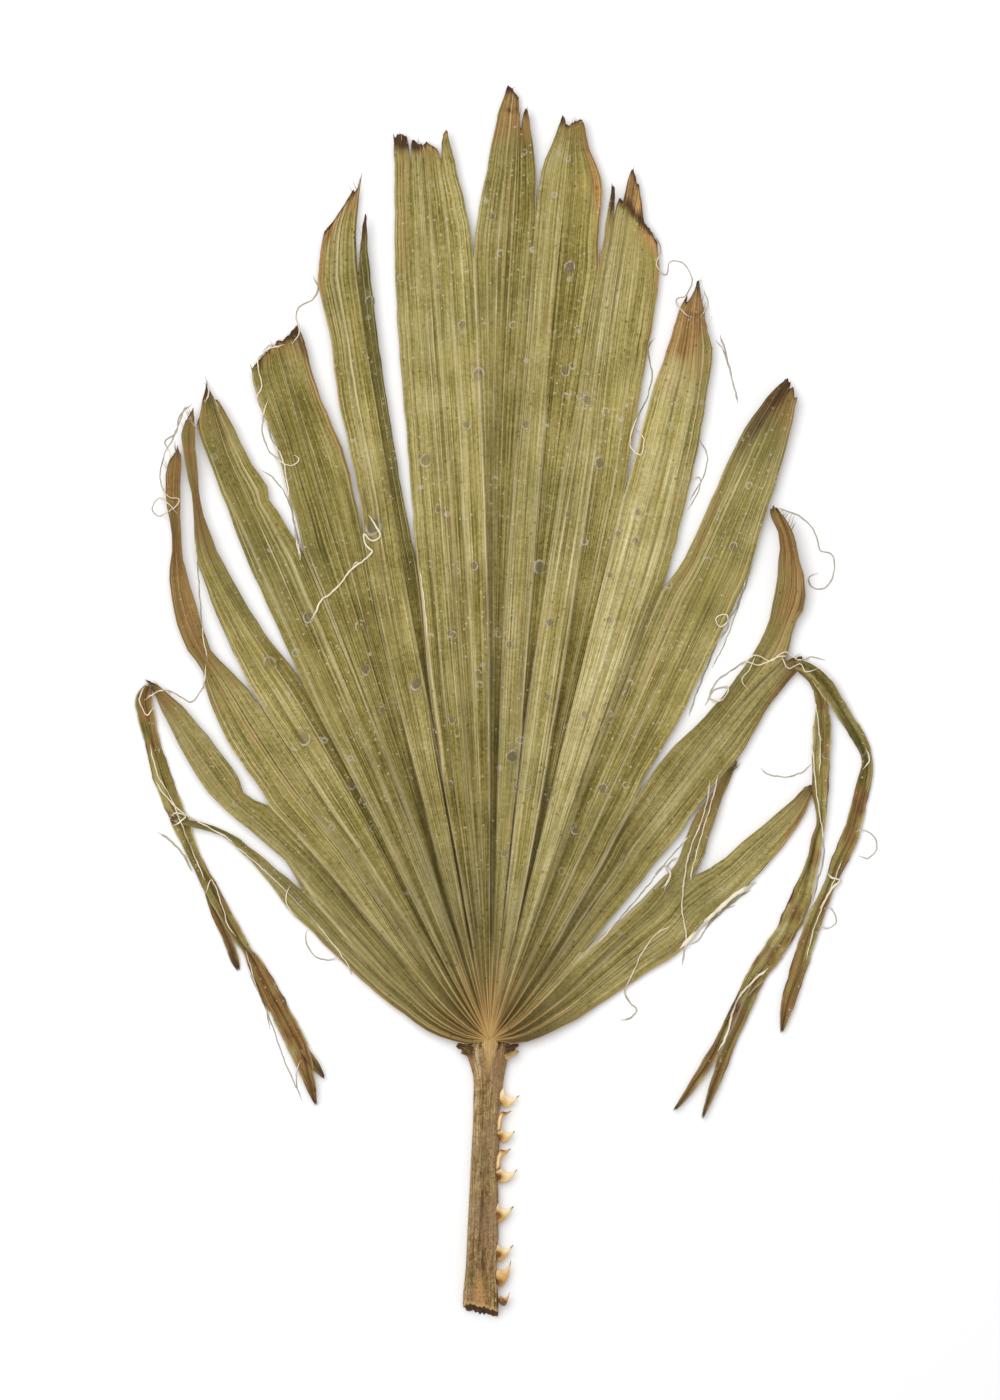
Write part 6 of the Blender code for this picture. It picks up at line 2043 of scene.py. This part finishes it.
@dataclass
class RingSpots:
    """Round mould spots that lie on the blade."""

    spots: tuple[Spot, ...] = (
        Spot(492, 217, 8), Spot(570, 268, 13, 0.7), Spot(369, 302, 10), Spot(438, 287, 7),
        Spot(462, 325, 10), Spot(478, 376, 15, 0.1), Spot(526, 425, 9), Spot(588, 400, 12),
        Spot(565, 370, 11), Spot(427, 460, 14, 0.2), Spot(466, 425, 9), Spot(600, 463, 12, 0.8),
        Spot(438, 510, 7), Spot(498, 515, 6), Spot(373, 527, 19, 0.8), Spot(568, 515, 7),
        Spot(638, 512, 9, 0.5), Spot(618, 534, 8), Spot(636, 540, 8), Spot(473, 566, 10),
        Spot(541, 568, 15, 0.5), Spot(362, 626, 14, 0.6), Spot(308, 617, 13, 0.7),
        Spot(450, 634, 8), Spot(550, 623, 10, 0.6), Spot(610, 575, 8), Spot(609, 620, 8),
        Spot(509, 645, 9), Spot(270, 664, 14, 0.1), Spot(417, 684, 14, 0.9), Spot(548, 697, 8),
        Spot(585, 715, 9), Spot(478, 674, 8), Spot(452, 720, 9), Spot(304, 739, 15, 0.1),
        Spot(513, 757, 14, 1.0), Spot(602, 788, 11, 0.6), Spot(516, 788, 7), Spot(450, 784, 7),
        Spot(366, 670, 11), Spot(383, 710, 9), Spot(352, 786, 8), Spot(363, 800, 9),
        Spot(733, 547, 9), Spot(576, 830, 9), Spot(505, 853, 8),
    )
    rings: int = 8
    around: int = 32
    proud: float = 0.07
    sunk: float = 0.22
    cliff: float = 1.4
    carried: tuple[str, ...] = ("across", "along", "tone", "pale", "dark", "rust", "green",
                                "burnt", "straw")
    finish: LeafFinish = LeafFinish(name="spotted_palm_blade")

    def build(self, ground: Ground) -> bpy.types.Object:
        """Drape all the spots over what lies under them."""
        points, faces, halo, core = [], [], [], []
        marks: dict[str, list[float]] = {name: [] for name in self.carried}
        for number, spot in enumerate(self.spots):
            x, y = from_photo(spot.x, spot.y)
            radius = spot.width * PHOTO_SCALE / 2
            middle = ground.height(x, y)
            kept = ground.marks(x, y, self.carried)
            if not kept:
                continue
            start = len(points)
            turns = np.linspace(0, 2 * np.pi, self.around, endpoint=False)
            wobble = 1 + 0.2 * ripple(turns / (2 * np.pi), 600 + number, 1.0)
            thin = 0.72 + 0.6 * ripple(turns / (2 * np.pi), 800 + number, 1.0)
            places = [(x, y, 0.0, 0.0)]
            for ring in range(1, self.rings + 1):
                share = ring / self.rings
                for turn, reach, fade in zip(turns, wobble, thin):
                    out = radius * 1.15 * share * reach
                    bead = math.exp(-((share - 0.74) / 0.13) ** 2) * float(np.clip(fade, 0, 1.2))
                    places.append((x + out * math.cos(turn) * 0.95,
                                   y + out * math.sin(turn) * 1.05, share, bead))
            for px, py, share, bead in places:
                height = ground.height(px, py)
                near = abs(height - middle) < self.cliff
                found = ground.marks(px, py, self.carried) if near else kept
                edge = self.proud * (0.35 + bead) * (1.0 if share < 0.99 else 0.15)
                points.append((px, py, (height if near else middle) + edge))
                halo.append(bead)
                core.append((1.0 - ease((share - 0.45) / 0.3)) * (0.5 + 0.5 * spot.dark))
                for name, value in zip(self.carried, found or kept):
                    marks[name].append(value)
            below = len(points)
            outer = start + 1 + (self.rings - 1) * self.around
            for side in range(self.around):
                px, py, pz = points[outer + side]
                points.append((px, py, max(pz - self.sunk, 0.0)))
                halo.append(0.0)
                core.append(0.0)
                for name in self.carried:
                    marks[name].append(marks[name][outer + side])
            for side in range(self.around):
                after = (side + 1) % self.around
                faces.append((start, start + 1 + side, start + 1 + after))
                for ring in range(self.rings - 1):
                    a = start + 1 + ring * self.around
                    faces.append((a + side, a + self.around + side, a + self.around + after,
                                  a + after))
                faces.append((outer + side, below + side, below + after, outer + after))
            faces.append([below + side for side in range(self.around)])
        carried = {name: np.array(values) for name, values in marks.items()}
        carried |= {"halo": np.array(halo), "core": np.array(core)}
        made = make_piece("ring_spots", np.array(points) * MM, faces, carried, 80)
        return dress(made, self.finish.material(), "dried_blade")


@dataclass(frozen=True)
class Thread:
    """A loose fibre: pixels along it, thickness in millimetres, greyness and brownness."""

    route: tuple[Pixel, ...]
    thick: float = 0.42
    grey: float = 0.2
    brown: float = 0.0


THREADS = (
    Thread(((313, 276), (318, 288), (312, 300), (300, 306), (296, 318), (300, 332), (292, 345)),
           0.45, 0.5),
    Thread(((285, 345), (268, 350), (258, 362), (262, 385), (258, 400), (266, 420), (272, 440),
            (283, 460), (290, 500), (300, 560)), 0.4, 0.1),
    Thread(((268, 400), (262, 425), (266, 445), (275, 457), (290, 466), (299, 460), (294, 455)),
           0.4, 0.1),
    Thread(((368, 515), (376, 526), (380, 536), (372, 541), (364, 534), (366, 545), (372, 552),
            (362, 562), (352, 569), (335, 590), (322, 600), (316, 612), (311, 620)), 0.6, 0.0),
    Thread(((352, 569), (356, 562), (360, 566)), 0.4, 0.0),
    Thread(((262, 470), (275, 480), (288, 500), (296, 530), (301, 560)), 0.35, 0.1),
    Thread(((186, 405), (172, 440), (164, 455), (160, 480), (168, 496), (180, 500), (172, 510),
            (158, 516), (152, 508), (160, 498), (170, 505), (178, 514)), 0.35, 0.3),
    Thread(((192, 404), (180, 415), (176, 432), (165, 442), (170, 452)), 0.45, 0.2),
    Thread(((196, 540), (200, 600), (204, 640), (208, 660)), 0.35, 0.1),
    Thread(((145, 700), (152, 695), (165, 690), (180, 696), (190, 702), (199, 694), (205, 680),
            (206, 664)), 0.4, 0.1),
    Thread(((145, 685), (140, 700), (147, 715), (156, 705)), 0.4, 0.1),
    Thread(((155, 780), (165, 795), (182, 812), (205, 825), (228, 838), (235, 845)), 0.45, 0.1),
    Thread(((150, 745), (158, 775), (172, 800), (190, 845), (205, 880)), 0.4, 0.05),
    Thread(((205, 895), (212, 880), (222, 905), (228, 925), (236, 936)), 0.35, 0.2),
    Thread(((170, 819), (176, 813), (186, 816), (180, 822), (172, 826)), 0.5, 0.0),
    Thread(((235, 845), (262, 868), (290, 895), (318, 925), (345, 960), (352, 975)), 0.35, 0.1),
    Thread(((307, 930), (306, 942), (314, 955), (326, 960), (340, 957)), 0.4, 0.4),
    Thread(((290, 885), (286, 897), (290, 910), (297, 916)), 0.4, 0.2),
    Thread(((250, 975), (262, 1000), (272, 1025), (285, 1062), (300, 1095)), 0.35, 0.1),
    Thread(((246, 950), (256, 985), (266, 1010), (270, 1030)), 0.3, 0.2),
    Thread(((300, 1060), (296, 1080), (302, 1102)), 0.3, 0.1),
    Thread(((655, 235), (661, 250), (656, 265), (666, 275), (670, 262), (684, 264), (692, 280),
            (686, 295), (676, 300), (682, 312), (692, 318)), 0.35, 0.3),
    Thread(((655, 338), (648, 350), (652, 375), (646, 400), (634, 425), (630, 445), (640, 455),
            (644, 440), (636, 430)), 0.4, 0.1),
    Thread(((704, 290), (708, 305), (700, 318)), 0.3, 0.2),
    Thread(((700, 440), (707, 455), (704, 475), (690, 500)), 0.35, 0.4),
    Thread(((690, 480), (700, 478), (698, 492), (688, 510)), 0.3, 0.2),
    Thread(((720, 335), (725, 350), (731, 375), (736, 395), (738, 403)), 0.45, 0.7),
    Thread(((716, 340), (724, 352), (730, 372)), 0.35, 0.6),
    Thread(((745, 580), (740, 600), (730, 618), (720, 627), (716, 618), (726, 615), (728, 628),
            (718, 640)), 0.4, 0.1),
    Thread(((718, 640), (708, 665), (696, 695), (689, 716)), 0.4, 0.1),
    Thread(((752, 565), (744, 590), (726, 640), (712, 668)), 0.3, 0.0),
    Thread(((705, 705), (714, 690), (728, 688), (722, 700), (710, 698), (716, 682), (735, 668),
            (745, 662), (760, 665), (775, 658), (790, 655)), 0.45, 0.1),
    Thread(((745, 662), (756, 655), (770, 661), (785, 652), (798, 660), (812, 657), (825, 660)),
           0.4, 0.1),
    Thread(((756, 655), (750, 668), (742, 680), (748, 690)), 0.4, 0.3),
    Thread(((780, 655), (788, 668), (800, 664), (806, 672), (818, 668)), 0.35, 0.1),
    Thread(((775, 508), (790, 512), (805, 520), (816, 535), (820, 550), (832, 555), (834, 572),
            (826, 587), (813, 588), (809, 578), (818, 573)), 0.4, 0.4),
    Thread(((760, 768), (768, 774), (785, 777), (800, 773), (812, 764)), 0.4, 0.6),
    Thread(((702, 820), (690, 850), (684, 880), (682, 910), (686, 935), (682, 965)), 0.45, 0.3),
    Thread(((718, 775), (712, 800), (700, 840), (692, 870), (690, 880)), 0.4, 0.1),
    Thread(((710, 780), (706, 805), (698, 830)), 0.35, 0.2),
    Thread(((672, 925), (655, 935), (641, 955), (632, 975), (625, 990), (630, 1003), (637, 1010),
            (630, 1018), (620, 1020)), 0.45, 0.5),
    Thread(((735, 905), (715, 915), (700, 938), (690, 945)), 0.4, 0.3),
    Thread(((740, 890), (722, 908), (706, 930)), 0.35, 0.1),
    Thread(((855, 832), (864, 830), (875, 838), (876, 850), (868, 858), (858, 856)), 0.35, 0.4),
    Thread(((826, 905), (834, 912), (836, 922), (828, 928), (818, 926)), 0.35, 0.4),
    Thread(((812, 745), (816, 790), (824, 850), (818, 880), (813, 900)), 0.4, 0.05),
    Thread(((813, 690), (817, 715), (820, 745), (819, 775)), 0.35, 0.1),
    Thread(((866, 748), (869, 760), (863, 770)), 0.45, 0.0),
    Thread(((842, 860), (830, 890), (815, 925), (806, 960)), 0.35, 0.1),
    Thread(((205, 376), (209, 390), (206, 404)), 0.5, 0.2, 0.2),
    Thread(((262, 352), (270, 345), (280, 348)), 0.35, 0.2),
    Thread(((420, 570), (424, 600), (428, 640)), 0.35, 0.0, 0.1),
    Thread(((596, 945), (640, 895), (668, 860), (690, 835)), 0.35, 0.0),
    Thread(((768, 968), (752, 982), (738, 999), (731, 1018), (727, 1034), (718, 1051)), 0.7, 0.0),
    Thread(((826, 872), (832, 878), (840, 880), (832, 888), (826, 898), (820, 908)), 0.7, 0.0),
    Thread(((662, 888), (668, 880), (670, 872), (664, 866), (655, 874)), 0.6, 0.0),
    Thread(((158, 832), (172, 842), (184, 856), (192, 872)), 0.6, 0.0),
    Thread(((756, 882), (744, 889), (733, 896), (722, 906), (712, 915), (702, 925), (692, 936),
            (680, 948)), 1.15, 0.0),
    Thread(((750, 890), (736, 900), (722, 912), (712, 922)), 0.5, 0.1),
    Thread(((664, 890), (670, 876), (667, 868), (672, 860), (680, 858)), 0.55, 0.0),
)


@dataclass
class LooseFibres:
    """Loose threads that have come away from the blade and lie on it and beside it."""

    spacing: float = 0.7
    around: int = 6
    spread: float = 1.6
    fuller: float = 1.3
    stray: float = 0.16
    ribbon_from: float = 0.9
    flatness: float = 0.45
    lift: float = 0.35
    seed: int = 5
    finish: FibreFinish = FibreFinish()
    points: list[np.ndarray] = field(default_factory=list)
    faces: list = field(default_factory=list)
    grey: list[float] = field(default_factory=list)
    brown: list[float] = field(default_factory=list)
    count: int = 0

    def tube(self, route: np.ndarray, radius: np.ndarray, grey: np.ndarray | float,
             brown: float, flat: float = 1.0) -> None:
        """Add one closed tube along a route.

        Args:
            route: Its middle line, one row a point.
            radius: Its radius at each point.
            grey: How grey it is, at each point or all along.
            brown: How brown it is.
            flat: Share of its width that it is tall.
        """
        ahead = np.gradient(route, axis=0)
        ahead = ahead / np.maximum(np.linalg.norm(ahead, axis=1), 1e-9)[:, None]
        side = np.cross(ahead, (0.0, 0.0, 1.0))
        side = side / np.maximum(np.linalg.norm(side, axis=1), 1e-9)[:, None]
        above = np.cross(side, ahead)
        turns = np.linspace(0, 2 * np.pi, self.around, endpoint=False)
        rings = (route[:, None, :]
                 + radius[:, None, None] * (side[:, None, :] * np.cos(turns)[None, :, None]
                                            + above[:, None, :] * flat
                                            * np.sin(turns)[None, :, None]))
        ids = np.arange(len(route) * self.around).reshape(len(route), self.around) + self.count
        after = np.roll(ids, -1, axis=1)
        quads = np.stack([ids[:-1], after[:-1], after[1:], ids[1:]], axis=-1).reshape(-1, 4)
        self.faces += quads.tolist() + [ids[0].tolist(), ids[-1].tolist()]
        rings[:, :, 2] = np.maximum(rings[:, :, 2], 0.0)
        self.points.append(rings.reshape(-1, 3))
        self.grey += np.repeat(np.broadcast_to(grey, len(route)), self.around).tolist()
        self.brown += [brown] * ids.size
        self.count += ids.size

    def drape(self, route: np.ndarray, ground: Ground, thick: float) -> np.ndarray:
        """Heights that let a thread lie over what is under it."""
        floor = np.array([ground.height(x, y) for x, y in route])
        pad = max(1, round(self.spread / self.spacing))
        padded = np.pad(floor, pad, mode="edge")
        high = np.array([padded[i:i + 2 * pad + 1].max() for i in range(len(floor))])
        soft = np.convolve(np.pad(high, pad, mode="edge"), np.ones(2 * pad + 1) / (2 * pad + 1),
                           mode="valid")
        return np.maximum(soft, floor) + thick / 2

    def lay(self, thread: Thread, number: int, ground: Ground) -> None:
        """Lay one thread over what is under it."""
        corners = np.array([from_photo(x, y) for x, y in thread.route])
        route = spline(corners, self.spacing)
        length = np.arange(len(route)) * self.spacing
        stray = self.stray if thread.thick < self.ribbon_from else 0.3 * self.stray
        route = route + stray * np.stack([ripple(length, number, 9), ripple(length, 90 + number, 7)],
                                         axis=-1)
        height = self.drape(route, ground, thread.thick)
        height = height + self.lift * (thread.thick > self.ribbon_from)
        share = np.linspace(0, 1, len(route))
        ends = np.clip(np.minimum(share, 1 - share) * len(route) / 4, 0.35, 1)
        radius = self.fuller * thread.thick / 2 * ends * (1 + 0.2 * ripple(length, 40 + number, 11))
        shaded = np.convolve(np.pad((height < 1.2).astype(float), 4, mode="edge"),
                             np.ones(9) / 9, mode="valid")
        grey = np.maximum(thread.grey * 0.6, shaded * 0.75)
        flat = self.flatness if thread.thick > self.ribbon_from else 1.0
        self.tube(np.column_stack([route, height]), radius, grey, thread.brown, flat)

    def fringe(self, blade: LeafBlade, ground: Ground) -> None:
        """Add short stiff fibres that stand out of the torn ends."""
        draw = np.random.default_rng(self.seed)
        across = blade.columns()
        for index in range(len(SEGMENTS)):
            ends = blade.end_reach(index, across)
            for _ in range(9):
                column = int(draw.integers(1, len(across) - 1))
                reach = float(ends[column])
                length = float(draw.uniform(0.2, 1.3)) if draw.random() > 0.12 else 2.6
                near = blade.surface(index, np.array([[reach - 3.0]]), np.array([across[column]]))
                x, y = float(near["x"][0, 0]), float(near["y"][0, 0])
                turn = math.radians(float(near["angle"][0, 0]) + float(draw.normal(0, 9)))
                steps = np.linspace(0, 1, 9)
                bend = float(draw.normal(0, 0.5))
                out = (3.0 + length) * steps
                px = x + out * math.sin(turn) + bend * steps ** 2 * math.cos(turn) * length * 0.4
                py = y + out * math.cos(turn) - bend * steps ** 2 * math.sin(turn) * length * 0.4
                px = np.clip(px, cad_low.x / MM + 0.4, cad_high.x / MM - 0.4)
                py = np.minimum(py, cad_high.y / MM - 0.3)
                base = ground.height(x, y)
                height = base - 0.15 + 0.3 * steps * float(draw.uniform(-0.4, 0.6))
                radius = 0.15 * (1 - 0.75 * steps)
                brown = float(draw.choice([0.1, 0.8, 0.9]))
                route = np.column_stack([px, py, np.full(9, 1.0) * height])
                self.tube(route, radius, 0.2, brown)

    def build(self, blade: LeafBlade, ground: Ground) -> bpy.types.Object:
        """Make all the loose fibres in one piece."""
        for number, thread in enumerate(THREADS):
            self.lay(thread, number, ground)
        self.fringe(blade, ground)
        marks = {"grey": np.array(self.grey), "brown": np.array(self.brown)}
        made = make_piece("loose_fibres", np.vstack(self.points) * MM, self.faces, marks, 80)
        return dress(made, self.finish.material(), "dried_blade")


@dataclass
class Studio:
    """Table, soft light from above and the camera that looks down."""

    middle: tuple[float, float] = (4.0, 136.0)
    view_height: float = 560.0
    camera_height: float = 3200.0
    table_size: float = 6000.0
    key_size: float = 1400.0
    key_place: tuple[float, float, float] = (-260.0, 420.0, 1150.0)
    key_power: float = 12.6
    sky: float = 0.6
    finish: TableFinish = TableFinish()

    def table(self) -> None:
        """Lay the pale table under the leaf."""
        half = self.table_size / 2 * MM
        mesh = bpy.data.meshes.new("table")
        corners = [(-half, -half, 0), (half, -half, 0), (half, half, 0), (-half, half, 0)]
        mesh.from_pydata(corners, [], [(0, 1, 2, 3)])
        made = bpy.data.objects.new("table", mesh)
        bpy.context.scene.collection.objects.link(made)
        mesh.materials.append(self.finish.material())

    def light(self) -> None:
        """Hang one soft light over the leaf, in an even pale room."""
        lamp = bpy.data.lights.new("softbox", "AREA")
        lamp.shape = "DISK"
        lamp.size = self.key_size * MM
        lamp.energy = self.key_power
        made = bpy.data.objects.new("softbox", lamp)
        made.location = Vector(self.key_place) * MM
        aim = Vector((*self.middle, 0)) * MM - made.location
        made.rotation_euler = aim.to_track_quat("-Z", "Y").to_euler()
        bpy.context.scene.collection.objects.link(made)
        world = bpy.data.worlds.new("pale_room")
        world.use_nodes = True
        world.node_tree.nodes["Background"].inputs["Color"].default_value = (1, 1, 1, 1)
        world.node_tree.nodes["Background"].inputs["Strength"].default_value = self.sky
        bpy.context.scene.world = world
        bpy.context.scene.view_settings.view_transform = "Standard"

    def camera(self) -> None:
        """Look straight down on the leaf through a long lens."""
        lens = bpy.data.cameras.new("camera")
        lens.sensor_fit = "AUTO"
        lens.sensor_width = 36.0
        lens.lens = lens.sensor_width * self.camera_height / self.view_height
        lens.clip_end = 50.0
        made = bpy.data.objects.new("camera", lens)
        made.location = Vector((*self.middle, self.camera_height)) * MM
        bpy.context.scene.collection.objects.link(made)
        bpy.context.scene.camera = made

    def build(self) -> None:
        """Set up the camera, the table and the light."""
        self.camera()
        self.table()
        self.light()


def main() -> None:
    """Build the leaf piece by piece and set it on its table."""
    logging.basicConfig(level=logging.INFO, format="%(message)s")
    Studio().build()
    blade = LeafBlade()
    ground = Ground()
    ground.add(blade.build())
    for strip in HangingStrips().build():
        ground.add(strip)
    for part in Stalk().build():
        ground.add(part)
    ToothedMargin().build()
    RingSpots().build(ground)
    LooseFibres().build(blade, ground)


if __name__ == "__main__":
    main()
